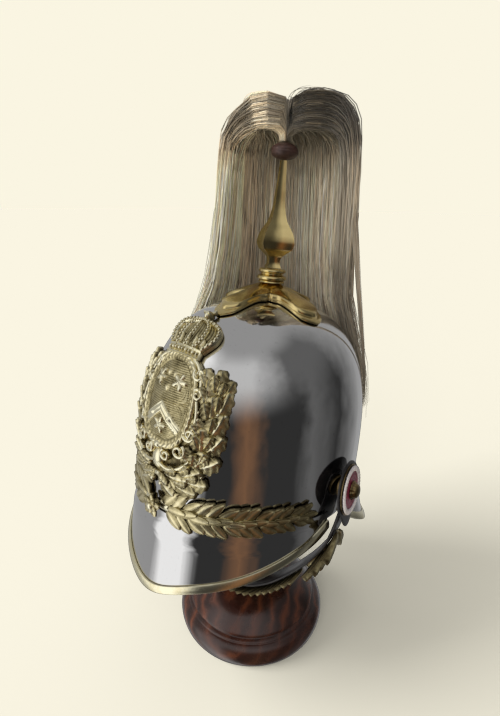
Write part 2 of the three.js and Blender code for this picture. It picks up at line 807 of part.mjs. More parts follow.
// A place on the strap: millimetres along it from the left end, across it and out from its outer face
function onStrap(along, across, out) {
  const share = THREE.MathUtils.clamp(along / STRAP_LENGTH, 0, 1);
  const at = strapCurve.getPointAt(share);
  const ahead = strapCurve.getTangentAt(share);
  const square = V(-Math.sin(degToRad(BOSS_TURN)) * at.x / strapHalf[0].x, 1, 0);
  const aside = square.addScaledVector(ahead, -square.dot(ahead)).normalize();
  const outward = ahead.clone().cross(aside);
  return at.addScaledVector(aside, across).addScaledVector(outward, out + STRAP_THICKNESS / 2);
}

function chinStrap() {
  const half = STRAP_WIDTH / 2;
  const sections = steps(30, 0, STRAP_LENGTH).map((along, i, all) => {
    const width = i === 0 || i === all.length - 1 ? half * 0.6 : half;
    return [
      onStrap(along, -width, -STRAP_THICKNESS), onStrap(along, width, -STRAP_THICKNESS),
      onStrap(along, width, 0), onStrap(along, -width, 0),
    ];
  });
  return sweep(sections);
}

// Ornament on the strap is laid out on its outer face from either end
function onStrapFrom(side) {
  return (along, across, out) => {
    if (side > 0) return onStrap(along, across, out);
    return onStrap(STRAP_LENGTH - along, across, out);
  };
}

const LEAF_START = 46.5;
const LEAF_END = 92;
const CHIN_LEAVES = 5;
const STRAP_LEAVES = [
  { start: 0, heading: 32, length: 22 },
  { start: 9, heading: 34, length: 25 },
  { start: 20, heading: 24, length: 24 },
];

// Long pointed leaves below the cockade
function strapLeaf(side) {
  const place = onStrapFrom(side);
  const stalk = steps(4, LEAF_START, LEAF_END - 6).map((along) => ({ round: along, up: 0, half: 4 }));
  const parts = [strip(place, stalk, 2 * GAP, 1.8)];
  const common = { width: 8, seat: 0.9, edge: 2, rib: 4.6, rows: LAUREL };
  for (const { start, heading, length } of STRAP_LEAVES) {
    const round = LEAF_START + start;
    parts.push(
      leaf(place, { ...common, round, up: 1.5, heading, length }),
      leaf(place, { ...common, round, up: -1.5, heading: -heading, length: length * 0.62 }),
    );
  }
  parts.push(leaf(place, { ...common, round: LEAF_END - 18, up: 0, heading: 0, length: 18 }));
  return joined(parts);
}

const CHIN_LEAF = { length: 16.5, width: 6.5, seat: 0.8, edge: 1.7, rib: 3.2, rows: LAUREL };

// A row of small overlapping leaves from there to the middle of the strap
function chinLeaves(side) {
  const place = onStrapFrom(side);
  const start = LEAF_END + 1;
  const end = STRAP_LENGTH / 2 - 1;
  const stalk = steps(8, start, end).map((along) => ({ round: along, up: 0, half: 3 }));
  const parts = [strip(place, stalk, 2 * GAP, 1.6)];
  for (let i = 0; i < CHIN_LEAVES; i++) {
    const round = lerp(start + 0.5, end - 13, i / (CHIN_LEAVES - 1));
    for (const fold of [1, -1]) {
      parts.push(leaf(place, { ...CHIN_LEAF, round, up: fold * 1.5, heading: fold * 42 }));
    }
  }
  return joined(parts);
}

// Stand

const standBase = () => turned([
  { radius: 0, z: 0 },
  { radius: 70.5, z: 0 },
  { radius: 72.2, z: 3 },
  { radius: STAND_RADIUS, z: 9 },
  { radius: 72.6, z: 15 },
  { radius: 69.6, z: 20 },
  { radius: 64.5, z: 22.6 },
  { radius: 62, z: 24.2 },
  { radius: 63.4, z: 27 },
  { radius: 61.4, z: 30 },
  { radius: 57, z: 35.5 },
  { radius: 50, z: 42 },
  { radius: 40, z: 47 },
  { radius: 28, z: 50.4 },
  { radius: 18, z: 52.6 },
  { radius: 16, z: STEM_FOOT },
  { radius: 0, z: STEM_FOOT },
], 20);

function standStem() {
  const low = STEM_FOOT + GAP;
  const top = HEAD_TOP - HEAD_DEPTH - GAP;
  return turned([
    { radius: 0, z: low },
    { radius: 14.5, z: low },
    { radius: 15.5, z: low + 4 },
    { radius: 12.4, z: low + 8 },
    { radius: STEM_RADIUS - 1, z: low + 40 },
    { radius: STEM_RADIUS, z: top },
    { radius: 0, z: top },
  ], 12);
}

function standHead() {
  const domeRadius = 80;
  const dome = steps(4, 0, HEAD_RADIUS).map((radius) => (
    { radius, z: HEAD_TOP - domeRadius + Math.sqrt(domeRadius ** 2 - radius ** 2) }));
  const low = HEAD_TOP - HEAD_DEPTH;
  return turned([
    ...dome,
    { radius: HEAD_RADIUS, z: HEAD_TOP - 18 },
    { radius: 20, z: low + 4 },
    { radius: 16, z: low },
    { radius: 0, z: low },
  ], 16);
}

// Materials

const metal = (color, roughness) => new THREE.MeshStandardMaterial({ color, roughness, metalness: 1 });
const plain = (color, roughness) => new THREE.MeshStandardMaterial({ color, roughness, metalness: 0 });

const polishedSteel = metal(0xb9bcc0, 0.12);
const brass = metal(0xb89b5e, 0.28);
const dullBrass = metal(0x8c7542, 0.4);
const horsehair = plain(0xa39a86, 0.6);
const brownLeather = plain(0x6b4433, 0.45);
const blackLeather = plain(0x1c1a19, 0.5);
const whiteEnamel = plain(0xd9d6d4, 0.35);
const crimsonEnamel = plain(0x7c2338, 0.4);
const redWood = plain(0x4e241a, 0.28);

// Assembly

const helmet = new THREE.Group();
helmet.rotation.x = -TILT;
helmet.position.set(0, HELMET_BACK, HELMET_LIFT);

const stand = new THREE.Group();

function add(parent, name, geometry, material) {
  const mesh = new THREE.Mesh(geometry, material);
  mesh.name = name;
  geometry.computeVertexNormals();
  parent.add(mesh);
}

add(helmet, 'skull', skull(), polishedSteel);
add(helmet, 'front_peak', peakSheet(frontPeak), polishedSteel);
add(helmet, 'front_peak_binding', peakBinding(frontPeak), brass);
add(helmet, 'rear_peak', peakSheet(rearPeak), polishedSteel);
add(helmet, 'rear_peak_binding', peakBinding(rearPeak), brass);
add(helmet, 'front_plate', frontPlate(), brass);
add(helmet, 'garland_rosette', garlandRosette(), brass);
add(helmet, 'plume_base', plumeBase(), brass);
add(helmet, 'spike_collar', spikeCollar(), brass);
add(helmet, 'spike', spike(), brass);
add(helmet, 'plume_knob', plumeKnob(), brownLeather);
add(helmet, 'plume', plume(), horsehair);
add(helmet, 'chin_strap', chinStrap(), blackLeather);

for (const [word, side] of [['left', 1], ['right', -1]]) {
  add(helmet, `garland_${word}`, garland(side), brass);
  add(helmet, `boss_${word}`, atBoss(side, bossPost()), dullBrass);
  add(helmet, `cockade_leather_${word}`, atBoss(side, cockadeLeather()), blackLeather);
  add(helmet, `cockade_plate_${word}`, atBoss(side, cockadePlate()), dullBrass);
  add(helmet, `cockade_ring_${word}`, atBoss(side, cockadeRing()), whiteEnamel);
  add(helmet, `cockade_field_${word}`, atBoss(side, cockadeField()), crimsonEnamel);
  add(helmet, `cockade_button_${word}`, atBoss(side, cockadeButton()), dullBrass);
  add(helmet, `strap_leaf_${word}`, strapLeaf(side), brass);
  add(helmet, `chin_leaves_${word}`, chinLeaves(side), brass);
}

add(stand, 'stand_base', standBase(), redWood);
add(stand, 'stand_stem', standStem(), redWood);
add(stand, 'stand_head', standHead(), redWood);

const group = new THREE.Group();
group.add(helmet, stand);

export default group;
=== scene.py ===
"""Cavalry helmet with a falling horsehair plume, on a turned wooden stand.

Every visible piece is a surface of two parameters worked out with numpy in the helmet's own
frame, in millimetres, and carried to the stand's frame in metres.
"""
import math

import bpy
import numpy as np
from mathutils import Matrix, Vector


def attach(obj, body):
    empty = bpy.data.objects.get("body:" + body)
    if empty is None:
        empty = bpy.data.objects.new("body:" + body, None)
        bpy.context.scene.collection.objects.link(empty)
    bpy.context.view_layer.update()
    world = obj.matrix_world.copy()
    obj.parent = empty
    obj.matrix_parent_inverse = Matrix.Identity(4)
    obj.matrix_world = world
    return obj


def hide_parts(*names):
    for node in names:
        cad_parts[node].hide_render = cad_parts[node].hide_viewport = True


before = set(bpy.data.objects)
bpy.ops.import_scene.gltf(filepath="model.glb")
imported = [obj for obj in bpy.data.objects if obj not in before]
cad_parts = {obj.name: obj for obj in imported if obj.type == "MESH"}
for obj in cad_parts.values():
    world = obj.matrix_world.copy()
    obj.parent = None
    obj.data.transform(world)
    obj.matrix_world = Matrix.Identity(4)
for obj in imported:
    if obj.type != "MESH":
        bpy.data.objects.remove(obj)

bl_info = {
    "name": "Cavalry helmet",
    "version": (1, 0, 0),
    "blender": (4, 5, 0),
    "location": "View3D > Sidebar > Helmet",
    "description": "Builds a plumed cavalry helmet on its stand around the packed model",
    "category": "Object",
}

# Sizes shared with the solid model, in millimetres; turns in degrees unless made radians here
MM = 0.001
GAP = 0.3
HALF_LENGTH = 108.0
HALF_WIDTH = 89.0
HEIGHT = 156.5
SHOULDER = 3.5
ROUNDNESS = 2.25
SKULL_WALL = 1.4
RIM_DROP = 12.0
TILT = math.radians(6.7)
BACK = -1.5
LIFT = 176.7
PEAK_WALL = 1.2
PEAK_SEAT = 0.7
PEAK_TOP_DROP = 3.0
BINDING_SHEET = 0.7
BINDING_CLEAR = 1.2
BINDING_FACE = 7.0
BINDING_RETURN = 2.2
GARLAND_END = 128.0
CROSS_TOP = 171.0
COLLAR_TOP = 181.0
SPIKE_TURN = 9.0
KNOB_HEIGHT = 272.0
KNOB_RADIUS = 10.9
KNOB_HALF_HEIGHT = 6.2
BOSS_BACK = 7.0
BOSS_HEIGHT = 13.1
BOSS_TURN = math.radians(11.6)
BOSS_LEAN = math.radians(6.3)
COCKADE_RADIUS = 20.0
RING_WIDTH = 4.5
STRAP_WIDTH = 22.0
STRAP_THICKNESS = 2.0
STAND_RADIUS = 73.3
STEM_FOOT = 56.0
STEM_RADIUS = 12.0
HEAD_RADIUS = 42.0
HEAD_TOP = 330.4
HEAD_DEPTH = 34.0
HEAD_DOME = 80
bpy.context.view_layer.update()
SIDES = {"left": 1, "right": -1}


# Meshes


class Shell:
    """The closed surfaces of one piece, in metres, with a relief value for each point."""

    def __init__(self):
        self.points, self.faces, self.relief, self.count = [], [], [], 0

    def loft(self, rings, ends=None, relief=1.0):
        """Copies of a closed section carried along a path: rings is (copies, rows, columns, 3).

        Quads join each ring to the next and wrap round the columns. With ends, (copies, 2, 3),
        each end is a fan to its point. Without, the last ring joins the first. A copy whose signed
        volume is negative is turned inside out.
        """
        rings = np.asarray(rings, float)
        if rings.ndim == 3:
            rings = rings[None]
            ends = None if ends is None else np.asarray(ends, float)[None]
        copies, rows, columns, _ = rings.shape
        points = rings.reshape(copies, rows * columns, 3)
        relief = np.broadcast_to(relief, rings.shape[:3]).reshape(copies, rows * columns)
        i = np.arange(rows - 1 if ends is not None else rows)[:, None]
        j = np.arange(columns)[None]
        near, far, side = i * columns, (i + 1) % rows * columns, (j + 1) % columns
        faces = np.stack([near + j, near + side, far + side, far + j], -1).reshape(-1, 4)
        if ends is not None:
            first, last = rows * columns, rows * columns + 1
            j, side = j[0], side[0]
            start = np.stack([first + 0 * j, side, j, first + 0 * j], -1)
            base = (rows - 1) * columns
            stop = np.stack([last + 0 * j, base + j, base + side, last + 0 * j], -1)
            faces = np.concatenate([faces, start, stop])
            points = np.concatenate([points, ends], 1)
            caps = np.stack([relief[:, :columns].mean(1), relief[:, -columns:].mean(1)], 1)
            relief = np.concatenate([relief, caps], 1)
        middle = points.mean(1, keepdims=True)
        a, b, c, d = [points[:, faces[:, k]] - middle for k in range(4)]
        volume = (np.cross(b, c) * a).sum((1, 2)) + (np.cross(c, d) * a).sum((1, 2))
        every = np.where((volume < 0)[:, None, None], faces[None, :, ::-1], faces[None])
        every = every + (np.arange(copies) * points.shape[1])[:, None, None]
        self.points.append(points.reshape(-1, 3))
        self.relief.append(relief.reshape(-1))
        self.faces.append(every.reshape(-1, 4) + self.count)
        self.count += points.shape[0] * points.shape[1]

    def mesh(self, name, material, sharp=35, tint=None):
        """An object of these surfaces, smooth but for edges sharper than a given angle."""
        points, faces = np.concatenate(self.points), np.concatenate(self.faces)
        keep = np.ones(faces.shape, bool)
        keep[:, 3] = faces[:, 0] != faces[:, 3]
        sizes = keep.sum(1)
        mesh = bpy.data.meshes.new(name)
        mesh.vertices.add(len(points))
        mesh.vertices.foreach_set("co", points.astype(np.float32).ravel())
        mesh.loops.add(int(sizes.sum()))
        mesh.loops.foreach_set("vertex_index", faces[keep].astype(np.int32))
        mesh.polygons.add(len(sizes))
        mesh.polygons.foreach_set("loop_start",
                                  np.concatenate([[0], np.cumsum(sizes)[:-1]]).astype(np.int32))
        mesh.polygons.foreach_set("use_smooth", np.ones(len(sizes), bool))
        mesh.update(calc_edges=True)
        if sharp:
            mesh.set_sharp_from_angle(angle=math.radians(sharp))
        layer = mesh.attributes.new("relief", "FLOAT", "POINT")
        layer.data.foreach_set("value", np.concatenate(self.relief).astype(np.float32))
        if tint is not None:
            layer = mesh.attributes.new("tint", "FLOAT_COLOR", "POINT")
            layer.data.foreach_set("color", tint.astype(np.float32).ravel())
        mesh.materials.append(material)
        made = bpy.data.objects.new(name, mesh)
        bpy.context.scene.collection.objects.link(made)
        return made

    def piece(self, name, material, slot, nodes=(), sharp=35, tint=None):
        """The same, riding on the root body and standing for its CAD nodes."""
        piece = self.mesh(name, material, sharp, tint)
        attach(piece, "root")
        if nodes:
            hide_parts(*nodes)
        return piece


def around(count):
    """Angles of a whole turn in equal steps."""
    return np.linspace(0, 2 * np.pi, count, endpoint=False)


def smooth(x, low, high):
    """0 below low, 1 above high and the cubic 3t^2 - 2t^3 between."""
    t = np.clip((x - low) / (high - low), 0, 1)
    return t * t * (3 - 2 * t)


def rounded_rows(rows, passes=2):
    """Chaikin's corner cutting on rows of numbers: each pass keeps 1/4 and 3/4 of every step."""
    rows = np.asarray(rows, float)
    for _ in range(passes):
        near = 0.75 * rows[:-1] + 0.25 * rows[1:]
        far = 0.25 * rows[:-1] + 0.75 * rows[1:]
        middle = np.stack([near, far], 1).reshape(-1, rows.shape[1])
        rows = np.concatenate([rows[:1], middle, rows[-1:]])
    return rows


def blended(at, keys, values):
    """Values between keys by the cubic with Catmull-Rom slopes."""
    keys, values = np.asarray(keys, float), np.asarray(values, float)
    slopes = np.gradient(values, keys)
    i = np.clip(np.searchsorted(keys, at, side="right") - 1, 0, len(keys) - 2)
    step = keys[i + 1] - keys[i]
    t = np.clip((at - keys[i]) / step, 0, 1)
    return ((2 * t**3 - 3 * t**2 + 1) * values[i] + (t**3 - 2 * t**2 + t) * step * slopes[i]
            + (3 * t**2 - 2 * t**3) * values[i + 1] + (t**3 - t**2) * step * slopes[i + 1])


def to_stand(p):
    """Helmet millimetres to the stand's frame in metres: a turn about X, then a lift."""
    p = np.asarray(p, float)
    x, y, z = p[..., 0], p[..., 1], p[..., 2]
    c, s = math.cos(TILT), math.sin(TILT)
    return np.stack([x, y * c + z * s + BACK, -y * s + z * c + LIFT], -1) * MM


def lofted(rings, ends=None, relief=1.0):
    """A closed surface in helmet millimetres, by default closed on its end rings' middles."""
    ends = rings[[0, -1]].mean(1) if ends is None else ends
    shell = Shell()
    shell.loft(to_stand(rings), to_stand(ends), relief)
    return shell


def to_helmet(p):
    """The stand's frame in metres back to helmet millimetres."""
    p = np.asarray(p, float) / MM
    x, y, z = p[..., 0], p[..., 1] - BACK, p[..., 2] - LIFT
    c, s = math.cos(TILT), math.sin(TILT)
    return np.stack([x, y * c - z * s, y * s + z * c], -1)


# The skull's face: reach^q + height^p = 1 with reach round an oval


def skull_point(turn, climb):
    """x and y go round an oval shrunk by cos(climb)^(2/q), z rises by sin(climb)^(2/p)."""
    reach = np.maximum(np.cos(climb), 0) ** (2 / ROUNDNESS)
    high = HEIGHT * np.maximum(np.sin(climb), 0) ** (2 / SHOULDER)
    x = HALF_WIDTH * reach * np.sin(turn)
    y = -HALF_LENGTH * reach * np.cos(turn)
    return np.stack([x, y, high + 0 * x], -1)


def skull_normal(p):
    """The gradient of reach^q + height^p, to unit length."""
    x, y = p[..., 0], p[..., 1]
    reach = np.maximum(np.hypot(x / HALF_WIDTH, y / HALF_LENGTH), 1e-6)
    flat = ROUNDNESS * reach ** (ROUNDNESS - 2)
    high = np.maximum(p[..., 2], 0) / HEIGHT
    slope = np.stack([flat * x / HALF_WIDTH**2, flat * y / HALF_LENGTH**2,
                      SHOULDER * high ** (SHOULDER - 1) / HEIGHT], -1)
    return slope / np.linalg.norm(slope, axis=-1, keepdims=True)


def off_skull(turn, climb, out):
    """A skull point moved out along its normal."""
    turn, climb, out = np.broadcast_arrays(turn, climb, out)
    p = skull_point(turn, climb)
    return p + skull_normal(p) * out[..., None]


def length_table(point_at, last):
    """Angles and the running length of a curve up to each, closer together near zero."""
    angles = last * np.linspace(0, 1, 4000) ** 2
    steps = np.linalg.norm(np.diff(point_at(angles), axis=0), axis=1)
    return np.concatenate([[0], np.cumsum(steps)]), angles


ROUND_TABLE = length_table(lambda a: skull_point(a, 0 * a), np.pi)
CLIMB_TABLE = length_table(lambda a: skull_point(0 * a, a), np.pi / 2)
CROWN_FRONT = length_table(lambda a: skull_point(0 * a, np.pi / 2 - a), np.pi / 2)
CROWN_SIDE = length_table(lambda a: skull_point(0 * a + np.pi / 2, np.pi / 2 - a), np.pi / 2)


def on_skull(across, up, out):
    """A place by millimetres round from the front, up from the base line and out from the steel."""
    across, up, out = np.broadcast_arrays(np.asarray(across, float), up, out)
    turn = np.sign(across) * np.interp(np.abs(across), *ROUND_TABLE)
    climb = np.interp(np.maximum(up, 0), *CLIMB_TABLE)
    p = off_skull(turn, climb, out)
    p[..., 2] = np.where(up < 0, up, p[..., 2])
    return p


def on_crown(turn, reach, out):
    """A place by direction and millimetres from the top of the crown."""
    front = np.cos(turn) ** 2
    angle = front * np.interp(reach, *CROWN_FRONT) + (1 - front) * np.interp(reach, *CROWN_SIDE)
    return off_skull(turn, np.pi / 2 - angle, out)


# Finishes


class FinishSettings(bpy.types.PropertyGroup):
    """Colours of the helmet's metals, leather, hair and wood."""

    steel: bpy.props.FloatVectorProperty(
        name="Steel", description="Colour of the polished skull and peaks",
        subtype="COLOR", default=(0.66, 0.655, 0.65))
    brass: bpy.props.FloatVectorProperty(
        name="Struck brass", description="Colour of the plate, garland and bindings",
        subtype="COLOR", default=(0.84, 0.74, 0.45))
    gilt: bpy.props.FloatVectorProperty(
        name="Polished brass", description="Colour of the spike and the cross under it",
        subtype="COLOR", default=(0.74, 0.60, 0.28))
    patina: bpy.props.FloatVectorProperty(
        name="Patina", description="Colour of the brass in its hollows",
        subtype="COLOR", default=(0.11, 0.086, 0.042))
    hair: bpy.props.FloatVectorProperty(
        name="Horsehair", description="Middle colour of the plume",
        subtype="COLOR", default=(0.55, 0.44, 0.30))
    black_leather: bpy.props.FloatVectorProperty(
        name="Black leather", description="Colour of the strap and the cockades' backing",
        subtype="COLOR", default=(0.012, 0.011, 0.012))
    brown_leather: bpy.props.FloatVectorProperty(
        name="Brown leather", description="Colour of the knob that holds the hair",
        subtype="COLOR", default=(0.050, 0.024, 0.019))
    crimson: bpy.props.FloatVectorProperty(
        name="Crimson", description="Colour of the cockade's field",
        subtype="COLOR", default=(0.19, 0.018, 0.045))
    white: bpy.props.FloatVectorProperty(
        name="White", description="Colour of the cockade's ring",
        subtype="COLOR", default=(0.62, 0.58, 0.60))
    wood: bpy.props.FloatVectorProperty(
        name="Wood", description="Colour of the stand's lighter grain",
        subtype="COLOR", default=(0.105, 0.030, 0.012))


class Nodes:
    """A node tree under construction."""

    def __init__(self, tree):
        self.tree = tree

    def node(self, kind, **settings):
        """A node with its settings, and its sockets filled from values or other nodes' sockets."""
        node = self.tree.nodes.new(kind)
        links = settings.pop("links", {})
        for name, value in settings.items():
            setattr(node, name, value)
        for name, value in links.items():
            self.feed(node.inputs[name], value)
        return node

    def feed(self, socket, value):
        if isinstance(value, bpy.types.NodeSocket):
            self.tree.links.new(value, socket)
        else:
            socket.default_value = value

    def ramp(self, value, stops):
        """A colour ramp through (position, colour) stops."""
        node = self.node("ShaderNodeValToRGB", links={0: value})
        steps = node.color_ramp.elements
        while len(steps) < len(stops):
            steps.new(0.5)
        for step, (at, colour) in zip(steps, stops):
            step.position, step.color = at, (*colour, 1)
        return node.outputs[0]

    def ranged(self, value, low, high, to_low, to_high, **settings):
        links = {0: value, 1: low, 2: high, 3: to_low, 4: to_high}
        return self.node("ShaderNodeMapRange", links=links, **settings).outputs[0]

    def mixed(self, share, a, b):
        node = self.node("ShaderNodeMix", data_type="RGBA")
        for socket, value in ((node.inputs[0], share), (node.inputs[6], a), (node.inputs[7], b)):
            if isinstance(value, tuple) and len(value) == 3:
                value = (*value, 1)
            self.feed(socket, value)
        return node.outputs[2]

    def math(self, operation, *values):
        links = dict(enumerate(values))
        return self.node("ShaderNodeMath", operation=operation, links=links).outputs[0]


class Finish(Nodes):
    """One material under construction: a Principled shader and the nodes that feed it."""

    def __init__(self, name, colour, metallic, roughness):
        self.material = bpy.data.materials.new(f"{name}_look")
        self.material.use_nodes = True
        super().__init__(self.material.node_tree)
        self.shader = self.tree.nodes["Principled BSDF"]
        self.shader.inputs["Base Color"].default_value = (*colour, 1)
        self.shader.inputs["Metallic"].default_value = metallic
        self.shader.inputs["Roughness"].default_value = roughness

    def place(self, scale=(1, 1, 1)):
        """Object coordinates, stretched."""
        where = self.node("ShaderNodeTexCoord").outputs["Object"]
        return self.node("ShaderNodeMapping", links={0: where, 3: scale}).outputs[0]

    def noise(self, scale, detail=3.0, stretch=(1, 1, 1), rough=0.5):
        links = {"Vector": self.place(stretch), "Scale": scale, "Detail": detail,
                 "Roughness": rough}
        return self.node("ShaderNodeTexNoise", links=links).outputs[0]

    def attribute(self, name, colour=False):
        node = self.node("ShaderNodeAttribute", attribute_name=name)
        return node.outputs["Color" if colour else "Fac"]

    def colour(self, value):
        self.feed(self.shader.inputs["Base Color"], value)

    def roughness(self, value):
        self.feed(self.shader.inputs["Roughness"], value)

    def bump(self, height, strength, distance):
        """A bump on top of those that the shader has already."""
        links = {"Height": height, "Strength": strength, "Distance": distance}
        node = self.node("ShaderNodeBump", links=links)
        previous = self.shader.inputs["Normal"].links
        if previous:
            self.tree.links.new(previous[0].from_socket, node.inputs["Normal"])
        self.tree.links.new(node.outputs[0], self.shader.inputs["Normal"])


def polished_steel(colours):
    """Mirror steel with a faint haze, fine wiping marks and a slow waviness."""
    f = Finish("polished_steel", colours.steel, 1, 0.1)
    haze = f.noise(9, 4, rough=0.6)
    wiped = f.noise(60, 3, (1, 1, 0.12), 0.6)
    f.roughness(f.math("ADD", f.ranged(haze, 0.35, 0.7, 0.02, 0.06),
                       f.ranged(wiped, 0.4, 0.8, 0, 0.04)))
    spots = f.noise(420, 2)
    f.colour(f.mixed(f.ranged(spots, 0.66, 0.78, 0, 0.3), tuple(colours.steel), (0.33, 0.31, 0.30)))
    f.bump(f.noise(14, 2), 0.10, 0.004)
    f.bump(wiped, 0.06, 0.0002)
    return f.material


def struck_brass(colours):
    """Brass, bright on its high places and dark in its hollows, with a fine struck grain."""
    f = Finish("struck_brass", colours.brass, 1, 0.27)
    # The relief attribute carries painted shade too, where a piece scales it down, as the garland
    # does.
    low = f.attribute("relief")
    worn = f.noise(90, 4, rough=0.65)
    high = f.math("ADD", low, f.ranged(worn, 0.3, 0.7, -0.22, 0.22))
    shade = f.ramp(high, [(0.08, tuple(colours.patina)), (0.40, (0.50, 0.43, 0.23)),
                          (0.70, tuple(colours.brass)),
                          (1.0, (0.94, 0.88, 0.63))])
    f.colour(shade)
    f.roughness(f.ranged(high, 0.1, 0.9, 0.48, 0.22))
    f.bump(f.noise(420, 4, rough=0.7), 0.12, 0.0006)
    return f.material


def polished_brass(colours):
    """Bright cast brass with a soft haze and a warmer tone where it is handled less."""
    f = Finish("polished_brass", colours.gilt, 1, 0.16)
    warm = f.noise(26, 4, rough=0.6)
    f.colour(f.mixed(f.ranged(warm, 0.35, 0.7, 0, 0.65), tuple(colours.gilt), (0.47, 0.34, 0.14)))
    f.roughness(f.ranged(f.noise(70, 4), 0.3, 0.7, 0.10, 0.24))
    f.bump(f.noise(30, 3), 0.12, 0.002)
    return f.material


def dull_brass(colours):
    """Brass gone brown, brighter on the worn high places."""
    f = Finish("dull_brass", (0.20, 0.14, 0.06), 1, 0.34)
    worn = f.noise(120, 4, rough=0.6)
    f.colour(f.mixed(f.ranged(worn, 0.35, 0.7, 0, 1), (0.12, 0.08, 0.035), (0.36, 0.26, 0.12)))
    f.bump(worn, 0.3, 0.0005)
    return f.material


def horsehair(colours):
    """Hair with each strand's tint, which holds painted light and shade as well as its own colour,
    streaked along its length.
    """
    f = Finish("horsehair", colours.hair, 0, 0.46)
    streak = f.noise(700, 3, (1, 1, 0.06))
    tint = f.attribute("tint", colour=True)
    f.colour(f.mixed(f.ranged(streak, 0.3, 0.75, 0.0, 0.35), tint, (0.10, 0.078, 0.055)))
    f.shader.inputs["Specular IOR Level"].default_value = 0.55
    f.shader.inputs["Sheen Weight"].default_value = 0.15
    f.bump(streak, 0.5, 0.0005)
    return f.material


def brown_leather(colours):
    """Rubbed brown leather, darker in its creases."""
    f = Finish("brown_leather", colours.brown_leather, 0, 0.42)
    crease = f.noise(240, 5, (1, 1, 1.6), 0.65)
    f.colour(f.mixed(f.ranged(crease, 0.35, 0.65, 0, 1), (0.022, 0.010, 0.008),
                     tuple(colours.brown_leather)))
    f.roughness(f.ranged(crease, 0.3, 0.7, 0.5, 0.3))
    f.bump(crease, 0.5, 0.0006)
    return f.material


def black_leather(colours):
    """Black leather with a fine pebbled grain, greyer where it is rubbed."""
    f = Finish("black_leather", colours.black_leather, 0, 0.40)
    grain = f.node("ShaderNodeTexVoronoi", links={"Vector": f.place(), "Scale": 900.0}).outputs[0]
    rubbed = f.noise(60, 4)
    f.colour(f.mixed(f.ranged(rubbed, 0.45, 0.75, 0, 1), tuple(colours.black_leather),
                     (0.045, 0.040, 0.038)))
    f.roughness(f.ranged(rubbed, 0.3, 0.7, 0.30, 0.50))
    f.bump(grain, 0.35, 0.0003)
    return f.material


def painted(name, colour, worn_colour):
    """Old hard paint, a little uneven and rubbed."""
    f = Finish(name, colour, 0, 0.32)
    uneven = f.noise(160, 4, rough=0.6)
    f.colour(f.mixed(f.ranged(uneven, 0.45, 0.8, 0, 0.8), tuple(colour), worn_colour))
    f.roughness(f.ranged(uneven, 0.3, 0.7, 0.26, 0.45))
    f.bump(uneven, 0.2, 0.0003)
    return f.material


def turned_wood(colours):
    """Dark red wood: growth rings round a slanted line, pores and a polish coat."""
    f = Finish("turned_wood", colours.wood, 0, 0.24)
    where = f.node("ShaderNodeTexCoord").outputs["Object"]
    seat = f.node("ShaderNodeMapping", vector_type="TEXTURE",
                  links={0: where, 1: (0.018, -0.058, 0.050), 2: (0.35, 0.2, 0.62)})
    rings = f.node("ShaderNodeTexWave", wave_type="RINGS", rings_direction="Y",
                   links={"Vector": seat.outputs[0], "Scale": 24.0, "Distortion": 5.0,
                          "Detail": 1.6,
                          "Detail Scale": 2.2, "Detail Roughness": 0.6}).outputs[0]
    pores = f.noise(850, 3, (1, 0.09, 1), 0.6)
    blotch = f.noise(24, 3, rough=0.5)
    grain = f.ramp(rings, [(0.0, (0.016, 0.006, 0.004)), (0.4, (0.036, 0.012, 0.007)),
                           (0.85, (0.066, 0.021, 0.010)),
                           (1.0, tuple(colours.wood))])
    shaded = f.mixed(f.ranged(blotch, 0.38, 0.62, 0, 0.75), grain, (0.028, 0.009, 0.006))
    f.colour(f.mixed(f.ranged(pores, 0.58, 0.72, 0, 0.8), shaded, (0.010, 0.004, 0.003)))
    f.roughness(f.ranged(f.noise(40, 4), 0.3, 0.7, 0.16, 0.34))
    f.shader.inputs["Coat Weight"].default_value = 0.35
    f.shader.inputs["Coat Roughness"].default_value = 0.14
    f.bump(pores, 0.12, 0.0004)
    f.bump(f.noise(55, 2), 0.12, 0.002)
    return f.material


FINISHES = {
    "polished_steel": polished_steel,
    "struck_brass": struck_brass,
    "polished_brass": polished_brass,
    "dull_brass": dull_brass,
    "horsehair": horsehair,
    "brown_leather": brown_leather,
    "black_leather": black_leather,
    "white_enamel": lambda c: painted("white_enamel", c.white, (0.30, 0.26, 0.25)),
    "crimson_enamel": lambda c: painted("crimson_enamel", c.crimson, (0.07, 0.008, 0.015)),
    "turned_wood": turned_wood,
}


def finish(name):
    """The named material, made the first time it is asked for."""
    return bpy.data.materials.get(f"{name}_look") or FINISHES[name](bpy.context.scene.helmet_finish)


# Skull and peaks


def skull_shell():
    """Outer and inner face at equal lengths up the skull, joined round a rounded rim."""
    turn = around(168)
    lengths = CLIMB_TABLE[0][-1] * np.linspace(0, 1, 60)[:-1]
    climbs = np.interp(lengths, *CLIMB_TABLE)
    edge = np.linspace(0, np.pi, 7)[:, None]
    half = SKULL_WALL / 2

    def face(out, order):
        rings = off_skull(turn[None], climbs[:, None], out)
        drops = np.linspace(0, RIM_DROP - half, 9)[1:][:, None]
        low = off_skull(turn[None], 0 * drops, out)
        low[..., 2] = -drops
        rows = np.concatenate([rings[::-1], low])
        return rows[::order]

    rim = off_skull(turn[None], 0 * edge, -half - half * np.cos(edge))
    rim[..., 2] = -(RIM_DROP - half) - half * np.sin(edge)
    rows = np.concatenate([face(-SKULL_WALL, 1), rim[1:-1], face(0, -1)])
    ends = np.array([[0, 0, HEIGHT - SKULL_WALL], [0, 0, HEIGHT]])
    return lofted(rows, ends)


